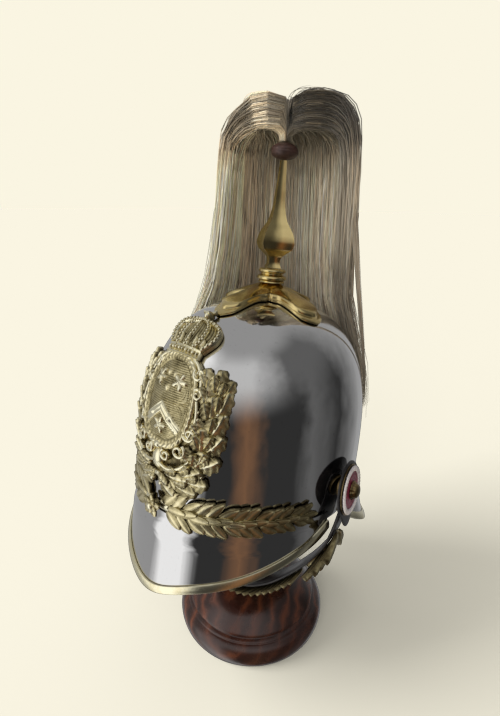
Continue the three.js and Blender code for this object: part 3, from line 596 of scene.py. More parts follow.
class Peak:
    """Depth below the base line and outward flare, by the angle from the peak's middle."""

    def __init__(self, middle, half, depth, flare):
        self.middle, self.half, self.depth, self.flare = math.radians(middle), half, depth, flare

    def at(self, w, drop, out):
        """Straight down from the skull's rim, swelling between 10 and 24 mm down, then flaring."""
        share = np.maximum(drop / self.depth(w), 0)
        bulge = 2.4 * smooth(drop, 10, 24) + self.flare(w) * share**1.5
        p = off_skull(self.middle + np.radians(w), 0 * w, out + bulge)
        p[..., 2] = -drop
        return p


FRONT_HALF, REAR_HALF = 86, 79.5


def front_depth(w):
    return 13 + 47 * np.cos(np.radians(w)) + 11 * np.exp(-((w / 18) ** 2))


def front_flare(w):
    return 4 * np.cos(np.radians(w)) ** 2


def rear_depth(w):
    return 17 + 37 * (1 - np.minimum(np.abs(w) / REAR_HALF, 1) ** 3)


def rear_flare(w):
    side = np.abs(w)
    corner = 4 * np.exp(-(((side - 62) / 10) ** 2))
    return corner + 8 * (1 - smooth(side, 50, 80)) + 13 * np.cos(np.radians(side)) ** 6


PEAKS = {"front": Peak(0, FRONT_HALF, front_depth, front_flare),
         "rear": Peak(180, REAR_HALF, rear_depth, rear_flare)}


def peak_sheet(peak):
    """A wall whose section runs down the outer face, round the edge and up the inner face."""
    w = np.linspace(-peak.half, peak.half, 110)[:, None]
    share = np.linspace(0, 1, 18)[None]
    drop = PEAK_TOP_DROP + (peak.depth(w) - PEAK_TOP_DROP) * share
    outer = peak.at(w + 0 * share, drop, PEAK_SEAT + PEAK_WALL)
    inner = peak.at(w + 0 * share, drop, PEAK_SEAT)
    rings = np.concatenate([outer, inner[:, ::-1]], 1)
    return lofted(rings)


def peak_binding(peak):
    """A strip folded over the free edge: two flat sides and a half round fold under them."""
    outside = PEAK_SEAT + PEAK_WALL + BINDING_CLEAR + BINDING_SHEET
    inside = PEAK_SEAT - 2 * GAP - BINDING_SHEET
    sheet = BINDING_SHEET
    fold = np.linspace(0, np.pi, 9)
    centre, half = (outside + inside) / 2, (outside - inside) / 2
    outer_fold = np.stack([centre + half * np.cos(fold), (GAP + sheet) * np.sin(fold)], -1)
    lip = -BINDING_FACE + 1.1
    face = np.array([[outside - 1.45, lip - 0.1], [outside - 0.5, lip + 0.1],
                     [outside + 0.15, -BINDING_FACE * 0.55], [outside + 0.2, -BINDING_FACE * 0.25]])
    back = np.array([[inside, -BINDING_RETURN], [inside + sheet, -BINDING_RETURN],
                     [inside + sheet, GAP * 0.8],
                     [outside - sheet, GAP * 0.8], [outside - sheet, lip + 1.2]])
    outline = np.concatenate([face, outer_fold, back])
    w = np.linspace(-peak.half, peak.half, 150)[:, None]
    out = outline[None, :, 0]
    above = peak.at(w + 0 * out, peak.depth(w) - BINDING_FACE + 0 * out, out)
    edge = peak.at(w + 0 * out, peak.depth(w) + 0 * out, out)
    share = (1 + outline[None, :, 1] / BINDING_FACE)[..., None]
    rings = above + (edge - above) * share
    high = np.interp(outline[:, 1], [-7, -5.5, 0, 1], [0.75, 1.0, 0.95, 0.8])
    return lofted(rings, relief=high[None])


# Leaves, strips and bosses laid on a surface


def laurel(s, v):
    """Half width sin(pi s^0.85)^0.8; a raised midrib between gutters and a curled edge."""
    wide = np.sin(np.pi * s**0.85) ** 0.8
    body = 0.55 * (1 - v**2) + 0.55 * np.exp(-((v / 0.13) ** 2)) + 0.30 * smooth(np.abs(v), 0.7,
                                                                                 0.95)
    return wide, body


def oak(s, v):
    """Three shallow round lobes a side on a broad oval; midrib, side veins and a rippled edge."""
    lobes = 1 + 0.14 * np.cos(2 * np.pi * (3.4 * s - 0.2)) * smooth(s, 0.05, 0.2)
    wide = np.sin(np.pi * (0.06 + 0.88 * s**0.85)) ** 0.6 * lobes
    veins = 0.13 * np.cos(2 * np.pi * (3.4 * s + 0.7 * np.abs(v) - 0.2)) * smooth(np.abs(v), 0.1,
                                                                                  0.4)
    body = 0.42 * (1 - v**2) + 0.55 * np.exp(-((v / 0.11) ** 2)) + veins
    body = body + 0.18 * smooth(np.abs(v), 0.68, 0.95)
    return wide, body


SPINE_STEPS = 40


def leaves(shell, place, table, form, seat, thick, rise, side=1, grid=(15, 12)):
    """Closed leaves from a table of rows (across, up, heading, length, width, bend, lift).

    s runs along a leaf and v across it, from -1 to 1. The spine bends by bend degrees along its
    length, the top stands at seat + thick + rise * body + lift * s, the underside at the seat.
    """
    table = np.asarray(table, float)
    across, up, heading, length, width, bend, lift = [table[:, k, None, None] for k in range(7)]
    rows, columns = grid
    s = np.linspace(0.02, 0.98, rows)[None, :, None]
    v = np.cos(np.linspace(np.pi, 0, columns))[None, None, :]
    wide, body = form(s, v)
    half = width / 2 * wide
    angle = np.radians(heading) + np.radians(bend) * (s - 0.5)
    fine = np.linspace(0, 1, SPINE_STEPS)[None, :, None]
    course = np.radians(heading) + np.radians(bend) * (fine - 0.5)
    run = np.cumsum(np.cos(course), 1) / SPINE_STEPS
    climb = np.cumsum(np.sin(course), 1) / SPINE_STEPS
    pick = np.clip(np.round(s[0, :, 0] * (SPINE_STEPS - 1)).astype(int), 0, SPINE_STEPS - 1)
    spine = np.stack([length * run[:, pick], length * climb[:, pick]], -1)
    x = across + spine[..., 0] - v * half * np.sin(angle)
    y = up + spine[..., 1] + v * half * np.cos(angle)
    taper = 0.25 + 0.75 * smooth(s, 0.0, 0.12) * smooth(1 - s, 0.0, 0.10)
    top_out = seat + (thick + rise * body + lift * s) * taper
    top = place(side * x, y, top_out)
    under = place(side * x, y, seat + 0 * top_out + lift * s * 0.5)
    rings = np.concatenate([top, under[:, :, ::-1]], 2)
    ends = np.stack([rings[:, 0].mean(1), rings[:, -1].mean(1)], 1)
    low = np.zeros_like(under[..., 0])
    high = np.clip(0.04 + 0.98 * body * taper + 0 * x, 0, 1.2)
    shell.loft(to_stand(rings), to_stand(ends), np.concatenate([high, low], 2))


def ribbon(shell, place, line, seat, section, side=1, steps=60):
    """A strip along rows of (across, up, half width), its section of (share across, height)."""
    line = rounded_rows(line, 3)
    length = np.concatenate([[0], np.cumsum(np.linalg.norm(np.diff(line[:, :2], axis=0), axis=1))])
    at = np.linspace(0, length[-1], steps)
    x, y, half = [np.interp(at, length, line[:, k]) for k in range(3)]
    dx, dy = np.gradient(x), np.gradient(y)
    run = np.hypot(dx, dy)
    nx, ny = -dy / run, dx / run
    share, height = np.asarray(section, float).T
    px = x[:, None] + nx[:, None] * half[:, None] * share
    py = y[:, None] + ny[:, None] * half[:, None] * share
    top = place(side * px, py, seat + height[None] + 0 * px)
    under = place(side * px, py, seat + 0 * px)
    rings = np.concatenate([top, under[:, ::-1]], 1)
    relief = 0.25 + 0.8 * height / max(height.max(), 1e-6)
    high = np.concatenate([relief + 0 * px, 0 * px], 1)
    shell.loft(to_stand(rings), to_stand(rings[[0, -1]].mean(1)), high)


ROUND_SECTION = [(-1, 0), (-0.92, 0.55), (-0.7, 0.85), (-0.35, 0.98), (0, 1), (0.35, 0.98),
                 (0.7, 0.85), (0.92, 0.55), (1, 0)]


def bead_section(height):
    """A half round section of a given height."""
    return [(share, height * high) for share, high in ROUND_SECTION]


def scroll(centre, radius, turns, start, shrink=0.3):
    """Rows of (across, up, half width) along a spiral that closes in on its centre."""
    t = np.linspace(0, 1, 14)
    angle = np.radians(start) + 2 * np.pi * turns * t
    reach = radius * (1 - (1 - shrink) * t)
    return np.stack([centre[0] + reach * np.cos(angle), centre[1] + reach * np.sin(angle),
                     1.7 - 0.5 * t], 1)


def beads(shell, place, table, seat, side=1, rings=6, columns=12):
    """Domes from rows of (across, up, half across, half up, height): height (1 - r^2)^0.5."""
    table = np.asarray(table, float)
    cx, cy, hx, hy, high = [table[:, k, None, None] for k in range(5)]
    r = np.sin(np.linspace(0.12, np.pi / 2, rings))[None, :, None]
    angle = around(columns)[None, None]
    x = cx + hx * r * np.cos(angle)
    y = cy + hy * r * np.sin(angle)
    top = place(side * x, y, seat + high * np.sqrt(np.maximum(1 - r**2, 0)) + 0 * x)
    under = place(side * x[:, ::-1], y[:, ::-1], seat - 0.6 + 0 * x)
    rows = np.concatenate([top, under], 1)
    tops = place(side * cx[:, 0, 0], cy[:, 0, 0], seat + high[:, 0, 0])
    bottoms = place(side * cx[:, 0, 0], cy[:, 0, 0], seat - 0.6)
    relief = np.concatenate([1.1 - 0.8 * r**3 + 0 * x, 0 * x], 1)
    shell.loft(to_stand(rows), to_stand(np.stack([tops, bottoms], 1)), relief)


def relief_disc(shell, place, centre, half, height, rows=70, columns=220, seat=0.8):
    """An oval field of relief: rows of growing share r, a height h(x, y, r), closed underneath."""
    r = np.linspace(0.02, 1, rows)[:, None]
    angle = around(columns)[None]
    square = (np.abs(np.cos(angle)) ** 2.4 + np.abs(np.sin(angle)) ** 2.4) ** (-1 / 2.4)
    x = half[0] * r * np.cos(angle) * square
    y = half[1] * r * np.sin(angle) * square
    out, tone = height(x, y, r + 0 * x)
    top = place(centre[0] + x, centre[1] + y, seat + out)
    under = place(centre[0] + x[::-12], centre[1] + y[::-12], seat + 0 * x[::-12])
    rings = np.concatenate([top, under])
    middle, _ = height(np.zeros(1), np.zeros(1), np.zeros(1))
    ends = place(np.full(2, centre[0]), np.full(2, centre[1]), seat + np.array([middle[0], 0.0]))
    shell.loft(to_stand(rings), to_stand(ends), np.concatenate([tone, 0 * x[::-12]]))


# Front plate


CARTOUCHE_UP = 85.0
HATCH = 1.55
CARTOUCHE_HALF = (27.5, 36.5)


def near(x, y, centre, radius):
    """A soft dot: exp(-(distance / radius)^2)."""
    return np.exp(-((x - centre[0]) ** 2 + (y - centre[1]) ** 2) / radius**2)


def sprig(x, y, centre, size):
    """Five petals round a seed: a dot whose radius grows as cos of five times the angle."""
    dx, dy = x - centre[0], y - centre[1]
    distance, angle = np.hypot(dx, dy), np.arctan2(dy, dx)
    petals = smooth(size * (0.72 + 0.28 * np.cos(5 * angle)) - distance, -0.5, 0.6)
    return petals * (0.75 + 0.25 * np.cos(5 * angle)) + 0.6 * near(x, y, centre, size * 0.28)


def cartouche_height(x, y, r):
    """A convex hatched field with a chevron between sprigs, in a scrolled and beaded frame."""
    field = 2.6 + 2.4 * (1 - np.minimum(r / 0.8, 1) ** 2)
    hatch = 0.32 * np.cos(2 * np.pi * y / HATCH)
    arm = y + 5 + 0.85 * np.abs(x)
    chevron = smooth(4.2 - np.abs(arm), -0.6, 0.7)
    ridge = 0.5 * np.exp(-((arm / 0.9) ** 2)) + 0.35 * smooth(np.abs(arm), 2.6, 3.4) * chevron
    flowers = sum(sprig(x, y, centre, size) for centre, size in
                  (((-10.5, 14.5), 6.4), ((10.5, 14.5), 6.4), ((0, -19), 6.6)))
    stems = sum(near(x, y, centre, 1.7)
                for centre in ((-3.5, 19), (3.5, 19), (-9, -12.5), (9, -12.5), (0, 8.5)))
    charge = np.clip(chevron * (1.1 + ridge) + 1.5 * flowers + 1.1 * stems, 0, 2.4)
    inner = field + hatch * (1 - np.clip(charge * 2, 0, 1)) + charge
    angle = np.arctan2(y / CARTOUCHE_HALF[1], x / CARTOUCHE_HALF[0])
    band = smooth(r, 0.78, 0.82)
    pearls = 0.9 * np.maximum(np.cos(46 * angle), 0) * np.exp(-(((r - 0.845) / 0.022) ** 2))
    rope = 1.5 * np.exp(-(((r - 0.925) / 0.05) ** 2)) * (0.82 + 0.18 * np.cos(38 * angle + 60 * r))
    frame_top = 3.6 + pearls + rope
    out = inner * (1 - band) + frame_top * band
    out = out * (1 - smooth(r, 0.985, 1.0) * 0.45)
    tone_in = 0.40 + 0.16 * np.cos(2 * np.pi * y / HATCH) * (charge < 0.3) + 0.42 * charge
    tone_frame = 0.28 + 0.42 * pearls + 0.42 * rope
    return out, np.clip(tone_in * (1 - band) + tone_frame * band, 0, 1.15)


WREATH_LINE = [(0, 27, 2.2), (16, 25, 2.2), (31, 34, 2.2), (41, 52, 2.2), (45, 75, 2),
               (43, 100, 1.2)]
# across, up, heading, length, width, bend, lift
OAK_LEAVES = [
    (4, 26, -34, 19, 12, 20, 1.0), (8, 31, 2, 22, 14, 20, 1.6), (18, 26, -10, 19, 13, 30, 1.2),
    (21, 33, 26, 20, 14, 20, 2.0), (27, 31, 2, 17, 13, 30, 1.4), (31, 39, 64, 20, 14, 16, 2.2),
    (31, 42, 116, 17, 12, -20, 1.6), (35, 43, 30, 18, 13, 30, 1.4), (36, 52, 94, 22, 15, 16, 2.4),
    (39, 55, 50, 19, 13.5, 26, 1.6), (36, 63, 110, 18, 13, -16, 2.0), (41, 66, 66, 21, 14, 20, 1.8),
    (40, 74, 92, 23, 14.5, 10, 2.4), (37, 85, 100, 23, 14, -12, 2.0), (44, 80, 72, 22, 13, 18, 1.6),
    (36, 96, 112, 20, 12, -14, 1.8), (41, 94, 86, 21, 13, 6, 2.2), (45, 92, 66, 18, 11, 14, 1.4),
]
# A second layer of the same rows, smaller, turned and lifted
SMALL_OAK = (1, 1, 1, 0.66, 0.60, 1, 1)
SMALL_SHIFT = (-1.5, 2.5, 14, 0, 0, 0, 1.2)
ACORNS = [(47.5, 80, 2.2, 2.0, 3.6), (50.5, 83, 2.0, 1.9, 3.4), (45, 83.5, 2.1, 2.0, 3.8),
          (44.5, 59, 2.1, 2.0, 3.6), (41.5, 62, 1.9, 2.0, 3.4), (35, 35, 2.1, 2.0, 3.4),
          (38.5, 37, 2.0, 1.8, 3.2), (14, 21.5, 2.0, 1.8, 3.2), (31.5, 78, 1.9, 1.9, 4.2),
          (31, 83, 1.8, 1.8, 4.0), (5, 21, 2.4, 2.2, 3.2), (9, 22, 2.2, 2.0, 3.0)]
CROWN_BASE = 118.0
CROWN_TOP = 147.0
BALL_UP = CROWN_TOP + 5.5
BAND_HALF = 19
CROWN_HALF = ([0, 0.35, 0.58, 0.8, 1], [18.5, 28, 25.5, 14, 2])
CROWN_CLIMB = ([0, 0.35, 0.58, 0.8, 1], [124, 135.5, 142.5, 146.5, 147.5])


def crown(shell):
    """A jewelled band, leaf points on it, five beaded arches over a pleated cap, and a ball."""
    wide = np.linspace(-1, 1, 9)
    curve = -1.6 * wide**2
    band = np.stack([BAND_HALF * wide, CROWN_BASE + 4 + curve, 0 * wide + 4.0], 1)
    ribbon(shell, on_skull, band, 0.8,
           [(-1, 0), (-1, 5.2), (-0.75, 6.2), (-0.55, 5.2), (0, 5.0), (0.55, 5.2),
                                        (0.75, 6.2), (1, 5.2), (1, 0)], steps=50)
    jewels = [(x, CROWN_BASE + 4 - 1.6 * (x / BAND_HALF) ** 2, 2.1 if k % 2 else 1.2, 1.4, 1.9)
              for k, x in
              enumerate(np.linspace(-16.5, 16.5, 9))]
    beads(shell, on_skull, jewels, 5.8)
    t, share = np.linspace(-1, 1, 60)[None], np.linspace(0, 1, 24)[:, None]
    x = t * blended(share, *CROWN_HALF)
    y = blended(share, *CROWN_CLIMB) + 0 * t
    pleats = np.cos(2 * np.pi * t * 9)
    out = 3.4 + 2.6 * (1 - t**2) + 0.5 * pleats * (1 - share**2)
    top = on_skull(x, y, out)
    under = on_skull(x, y, 0.8 + 0 * out)
    rings = np.concatenate([top, under[:, ::-1]], 1)
    tone = np.concatenate([0.30 + 0.22 * pleats + 0 * x, 0 * x], 1)
    shell.loft(to_stand(rings), to_stand(rings[[0, -1]].mean(1)), tone)
    rise = np.linspace(0, 1, 14)
    sweep, height = blended(rise, *CROWN_HALF), blended(rise, *CROWN_CLIMB)
    pearls = []
    for lean in (-1.0, -0.52, 0.0, 0.52, 1.0):
        ribbon(shell, on_skull, np.stack([lean * sweep, height, 2.5 - 0.6 * rise], 1), 0.8,
               bead_section(6.4), steps=44)
        spots = np.linspace(0.05, 0.97, 12)
        pearls += [(lean * np.interp(s, rise, sweep), np.interp(s, rise, height), 1.35, 1.35, 1.6)
                   for s in spots]
    beads(shell, on_skull, pearls, 6.8, rings=4, columns=9)
    points = [(x, CROWN_BASE + 7.5 - 1.4 * (x / BAND_HALF) ** 2, 90 - 1.2 * x, 8.5, 6.0, 0, 1.2)
              for x in (-16, -8, 0, 8, 16)]
    leaves(shell, on_skull, points, oak, 5.0, 1.0, 1.4, grid=(11, 9))
    beads(shell, on_skull, [(0, BALL_UP, 4.6, 4.4, 7.5)], 2.0, rings=10, columns=20)
    ribbon(shell, on_skull, [(0, CROWN_TOP + 8, 1.5), (0, CROWN_TOP + 13.5, 1.9)], 2.0,
           bead_section(3.0), steps=8)
    ribbon(shell, on_skull, [(-2.8, CROWN_TOP + 11, 1.2), (2.8, CROWN_TOP + 11, 1.2)], 2.0,
           bead_section(3.0), steps=8)
    ribbon(shell, on_skull, [(-4.4, BALL_UP, 0.9), (4.4, BALL_UP, 0.9)], 2.0, bead_section(8.3),
           steps=10)


def front_plate():
    """Crowned cartouche in an oak wreath, with scrolls, ribbons and a hanging knot below it."""
    shell = Shell()
    relief_disc(shell, on_skull, (0, CARTOUCHE_UP), CARTOUCHE_HALF, cartouche_height)
    relief_disc(shell, on_skull, (0, 46), (31, 23), lambda x, y, r: (0.9 - 0.3 * r, 0.22 + 0 * x),
                10, 90, 0.5)
    beads(shell, on_skull, [(0, 40, 6.5, 9, 4.6), (0, 51, 4.2, 3.6, 5.8)], 1.2, rings=9, columns=24)
    for side in (1, -1):
        ribbon(shell, on_skull, WREATH_LINE, 0.8, bead_section(2.6), side)
        leaves(shell, on_skull, OAK_LEAVES, oak, 0.8, 1.5, 2.3, side, (17, 11))
        leaves(shell, on_skull, np.array(OAK_LEAVES) * SMALL_OAK + SMALL_SHIFT, oak, 2.2, 0.9, 2.0,
               side, (17, 11))
        beads(shell, on_skull, ACORNS, 1.6, side, rings=6, columns=12)
        for line in (scroll((25, 108), 5.2, 1.1, 150), scroll((27.5, 94), 4.2, -1.1, 130),
                     scroll((27, 66), 5.0, 1.2, 200),
                     scroll((20, 52), 5.6, -1.2, 60), scroll((9, 46), 4.6, 1.2, 120)):
            ribbon(shell, on_skull, line, 1.0, bead_section(5.2), side, steps=46)
        for line in ([(2, 38, 1.4), (12, 35, 1.7), (22, 39, 1.7), (29, 47, 1.2)],
                     [(14, 118, 1.8), (22, 114, 2.0), (28, 104, 1.8), (29, 96, 1.4)],
                     [(28, 90, 1.6), (30.5, 80, 2.0), (29, 70, 1.8), (26, 62, 1.4)]):
            ribbon(shell, on_skull, line, 0.8, bead_section(5.0), side, steps=50)
        fringe = [(3 + 3.2 * k, 30 - 0.4 * k, -70 + 9 * k, 11, 4.2, 10, 0.8) for k in range(5)]
        leaves(shell, on_skull, fringe, laurel, 1.0, 1.6, 2.0, side, (10, 8))
    crown(shell)
    return shell


# Laurel garland


def garland_table():
    """Rows of leaves along the base line: upper, lower and a middle one at each joint."""
    rows = []
    for k, at in enumerate(np.linspace(7, GARLAND_END - 14, 13)):
        share = at / GARLAND_END
        long = np.interp(share, [0, 0.35, 1], [24, 22, 15])
        wide = np.interp(share, [0, 0.5, 1], [8.4, 7.6, 5.8])
        fan = np.interp(share, [0, 1], [46, 36])
        wobble = 6 * math.sin(2.1 * k)
        rows.append((at, 2.5, fan + wobble, long, wide, -16, 1.0))
        rows.append((at + 4, 2.0, -fan * 0.8 - wobble, long * 0.86, wide, 16, 1.6))
        rows.append((at + 3, 2.5, fan * 0.15 + wobble, long * 0.9, wide * 0.85, 6, 2.6))
    return rows


def garland(side):
    """A stem with overlapping laurel leaves."""
    shell = Shell()
    at = np.linspace(5, GARLAND_END, 12)
    ribbon(shell, on_skull, np.stack([at, 0 * at + 2.5, 3.8 - 0.012 * at], 1), 2 * GAP,
           bead_section(2.6), side, 90)
    leaves(shell, on_skull, garland_table(), laurel, 1.0, 1.2, 2.0, side, (14, 10))
    # Painted shade: the relief, which sets how bright the brass is, is scaled down towards the
    # back, so the leaves darken along the garland.
    for k, points in enumerate(shell.points):
        shell.relief[k] = shell.relief[k] * np.interp(to_helmet(points)[:, 1], [-95, -50, 0],
                                                      [1.0, 0.62, 0.42])
    return shell


def garland_rosette():
    """Two rings of petals round a domed seed, on a short post."""
    shell = Shell()
    petals = [(0, 1, 72 * k + 90, 9.6, 6.6, 0, 0.4) for k in range(5)]
    leaves(shell, on_skull, petals, laurel, 6.2, 0.7, 1.3, grid=(12, 10))
    inner = [(0, 1, 72 * k + 54, 6.6, 4.4, 0, 0.4) for k in range(5)]
    leaves(shell, on_skull, inner, laurel, 7.2, 0.6, 1.1, grid=(10, 8))
    beads(shell, on_skull, [(0, 1, 3.0, 3.0, 2.2)], 8.2, rings=8, columns=16)
    beads(shell, on_skull, [(0, 1, 3.4, 3.4, 7.0)], 1.4, rings=8, columns=16)
    return shell


# Plume fitting


CROSS_EDGE = ([0, 3, 7, 11, 15, 18.5, 22, 27, 34, 40, 45],
              [63, 61.5, 59.5, 57, 53, 42.5, 33, 27.5, 25, 24.2, 21.5])


def plume_base():
    """A cross of four shaped arms: a thin flange, a stepped border and a crowned panel."""
    angle = around(400)
    arm = np.abs((np.degrees(angle) + 45) % 90 - 45)
    reach = np.interp(arm, *CROSS_EDGE) * (1 - 0.12 * np.sin(angle) ** 2)
    keys = [(0.995, 0.9), (1.0, 1.5), (0.995, 2.2), (0.97, 2.7), (0.935, 2.8), (0.905, 2.6),
            (0.885, 3.1), (0.875, 4.4), (0.855, 5.5), (0.83, 6.0), (0.80, 6.1), (0.72, 6.8),
            (0.60, 8.4), (0.48, 10.0), (0.36, 11.6), (0.27, 12.6)]
    smoothed = np.convolve(np.concatenate([reach[-4:], reach, reach[:4]]), np.ones(7) / 7,
                           "same")[4:-4]
    core = np.minimum(smoothed, 26)
    rows = []
    for share, high in keys:
        flow = smooth(share, 0.3, 0.9)
        rows.append(on_crown(angle, (smoothed * flow + core * (1 - flow)) * share, high))
    hub = []
    for radius, high in ((11.3, CROSS_TOP - 1.7), (10.9, CROSS_TOP - 0.6), (10.3, CROSS_TOP)):
        hub.append(np.stack([radius * np.sin(angle), -radius * np.cos(angle), 0 * angle + high],
                            -1))
    under = [on_crown(angle, smoothed * share, 1.0) for share in (0.2, 0.5, 0.8, 0.97)]
    rings = np.array(under + rows + hub)
    ends = np.array([[0, 0, HEIGHT + 1.0], [0, 0, CROSS_TOP]])
    return lofted(rings, ends)


def lathe(rows, columns, carry, relief=1.0, cuts=None):
    """A profile of (radius, height) rows turned round the axis, its ends closed on the axis."""
    rows = np.asarray(rows, float)
    angle = around(columns)
    radius = rows[:, :1] * (1 + (0 if cuts is None else cuts(rows[:, :1], angle[None])))
    rings = np.stack([radius * np.cos(angle), radius * np.sin(angle), rows[:, 1:2] + 0 * angle], -1)
    ends = np.array([[0, 0, rows[0, 1]], [0, 0, rows[-1, 1]]])
    shell = Shell()
    shell.loft(carry(rings), carry(ends), relief)
    return shell


def spike_collar():
    """Two rings with a dark groove between them."""
    low = CROSS_TOP + GAP
    rows = rounded_rows([(4, low), (12.2, low), (12.6, low + 1.6), (12.0, low + 3.2),
                         (9.6, low + 4.2), (9.0, low + 5.0), (9.6, low + 5.6), (11.4, low + 6.4),
                         (11.6, low + 7.6), (11.0, COLLAR_TOP - 1), (9.6, COLLAR_TOP),
                         (4, COLLAR_TOP)], 2)
    return lathe(rows, 96, to_stand)


SPIKE_UP = [0, 2.2, 6, 9, 12, 15, 19, 24, 30, 37, 46, 62, 84.2]
SPIKE_EDGE = [8.6, 7.2, 6.6, 7.8, 11.6, 16.2, 18.4, 18.0, 15.2, 10.0, 6.8, 4.9, 3.1]


def spike():
    """A square section with hollow faces: each side is a parabola sagging towards the axis."""
    up = np.linspace(0, SPIKE_UP[-1], 120)
    edge = blended(up, SPIKE_UP, SPIKE_EDGE)
    t = np.linspace(-1, 1, 25)[:-1]
    corner = np.radians(SPIKE_TURN) + np.arange(4) * np.pi / 2
    a = np.stack([np.sin(corner), -np.cos(corner)], -1)[:, None]
    b = np.roll(a, -1, 0)
    sag = 0.80 + 0.20 * np.abs(t[:, None]) ** 2.2
    outline = ((a * (1 - t[:, None]) + b * (1 + t[:, None])) / 2 * sag).reshape(-1, 2)
    soft = np.roll(outline, 1, 0) * 0.1 + outline * 0.8 + np.roll(outline, -1, 0) * 0.1
    low = COLLAR_TOP + GAP
    levels = np.broadcast_to((low + up)[:, None, None], (len(up), len(soft), 1))
    rings = np.concatenate([soft[None] * edge[:, None, None], levels], -1)
    return lofted(rings, np.array([[0, 0, low], [0, 0, low + SPIKE_UP[-1]]]))


def plume_knob():
    """A flattened ball with a sewn seam round its middle."""
    angle = np.radians(np.linspace(-88, 88, 40))
    radius = KNOB_RADIUS * np.cos(angle) ** 0.8 * (1 - 0.035
                                                   * np.exp(-((np.degrees(angle) / 5) ** 2)))
    rows = np.stack([radius, KNOB_HEIGHT + KNOB_HALF_HEIGHT * np.sin(angle)], -1)
    return lathe(rows, 64, to_stand)


# Horsehair


class PlumeSettings(bpy.types.PropertyGroup):
    """How the plume is combed."""

    strands: bpy.props.IntProperty(
        name="Strands", description="Strands in each bundle of the plume", default=1200, min=50,
        max=1900)
    bundles: bpy.props.IntProperty(
        name="Bundles", description="Pieces that the strands are shared between", default=4, min=1,
        max=4)
    thickness: bpy.props.FloatProperty(
        name="Strand radius", description="Radius of one strand", default=0.00041, unit="LENGTH",
        min=0.0001, max=0.001)
    seed: bpy.props.IntProperty(name="Seed", description="Seed of the hair's small disorder",
                                default=11)


PARTING = math.radians(47)
LOCKS = 46
RISE_ROWS, HANG_ROWS = 10, 6
CORE_COLUMNS = 160
CORE_DROP = 4.0
FALLS = (math.radians(122), math.radians(298))
HAIR_END = 30.0
RAISED = 45.0
BACK_SHARE = (math.pi - FALLS[0]) / (FALLS[1] - FALLS[0])


def clear_of_skull(p, clearance):
    """Newton steps outwards until reach^q + height^p of the enlarged skull reaches 1."""
    q = to_helmet(p)
    b, a, h = HALF_WIDTH + clearance, HALF_LENGTH + clearance, HEIGHT + clearance
    for _ in range(6):
        reach = np.maximum(np.hypot(q[..., 0] / b, q[..., 1] / a), 1e-6)
        high = np.maximum(q[..., 2], 0) / h
        inside = reach**ROUNDNESS + high**SHOULDER - 1
        flat = ROUNDNESS * reach ** (ROUNDNESS - 2)
        slope = np.stack([flat * q[..., 0] / b**2, flat * q[..., 1] / a**2,
                          SHOULDER * high ** (SHOULDER - 1) / h], -1)
        step = np.minimum(inside, 0) / np.maximum((slope**2).sum(-1), 1e-12)
        q = q - slope * step[..., None]
    return to_stand(q)


def hair_paths(share, layer, lowest_shift, rows=(RISE_ROWS, HANG_ROWS)):
    """Paths in metres, (strands, rows, 3), for shares 0 to 1 round the parting and layers 0 to 1.

    A strand shoots up from the knob as 1 - exp(-t / 0.05), swings at once from its root's
    bearing to its fall's, bows over as 1 - t^n and falls, opening out on the left and turning
    back on the right.
    """
    share, layer = share[:, None], layer[:, None]
    root = PARTING + np.radians(6) + share * (2 * np.pi - np.radians(12))
    fall = FALLS[0] + share * (FALLS[1] - FALLS[0])
    spread = 48.5 - 2.0 * share + 8.5 * layer
    t = (np.linspace(0, 1, rows[0] + 1) ** 1.35)[None]
    seam = np.minimum(share, 1 - share) * 2
    turn = root + (fall - root) * smooth(t, 0.07 * layer * (1 - seam), 0.36 + 0.5 * seam)
    reach = 3.0 + 1.5 * layer + (spread - 4) * np.sin(t * np.pi / 2)
    peak = 9 + 30 * layer + 3 * share
    bow = 2.6 - 1.3 * share
    rise = 1.0 + peak * (0.72 * (1 - np.exp(-t / 0.05)) + 0.28
                         * np.sin(np.pi * t)) * (1 - t**bow) - 18 * t**4
    origin = to_stand(np.array([0, 0, KNOB_HEIGHT + KNOB_HALF_HEIGHT])) / MM
    p = np.stack([origin[0] + reach * np.sin(turn), origin[1] - reach * np.cos(turn),
                  origin[2] + rise], -1) * MM
    low = HAIR_END + RAISED * np.abs(share - BACK_SHARE) / (1 - BACK_SHARE)
    end = p[:, -1:, 2]
    target = to_stand(np.stack([0 * low, 0 * low + 80, low],
                               -1))[..., 2] + lowest_shift[:, None] * MM
    down = (np.arange(rows[1]) + 1)[None] / rows[1]
    high = end + (np.minimum(target, end - 0.02) - end) * down
    below = np.clip((0.42 - high) / 0.11, 0, 1.3)
    wide = reach[:, -1:] + below * (5 + 11 * smooth(share, 0.6, 1.0))
    swing = fall + np.radians(24) * smooth(0.30 - share, 0, 0.30) * smooth(below, 0.1, 1.1)
    hang = np.stack([origin[0] * MM + wide * np.sin(swing) * MM,
                     origin[1] * MM - wide * np.cos(swing) * MM, high], -1)
    hang = clear_of_skull(hang, 3.2 + 6.0 * layer)
    whole = np.concatenate([p, hang], 1)
    soft = whole.copy()
    soft[:, 1:-1] = whole[:, :-2] * 0.25 + whole[:, 1:-1] * 0.5 + whole[:, 2:] * 0.25
    whole[:, rows[0] - 1:] = soft[:, rows[0] - 1:]
    whole[:, rows[0] + 1:] = clear_of_skull(whole[:, rows[0] + 1:], 2.6 + 6.0 * layer)
    return whole


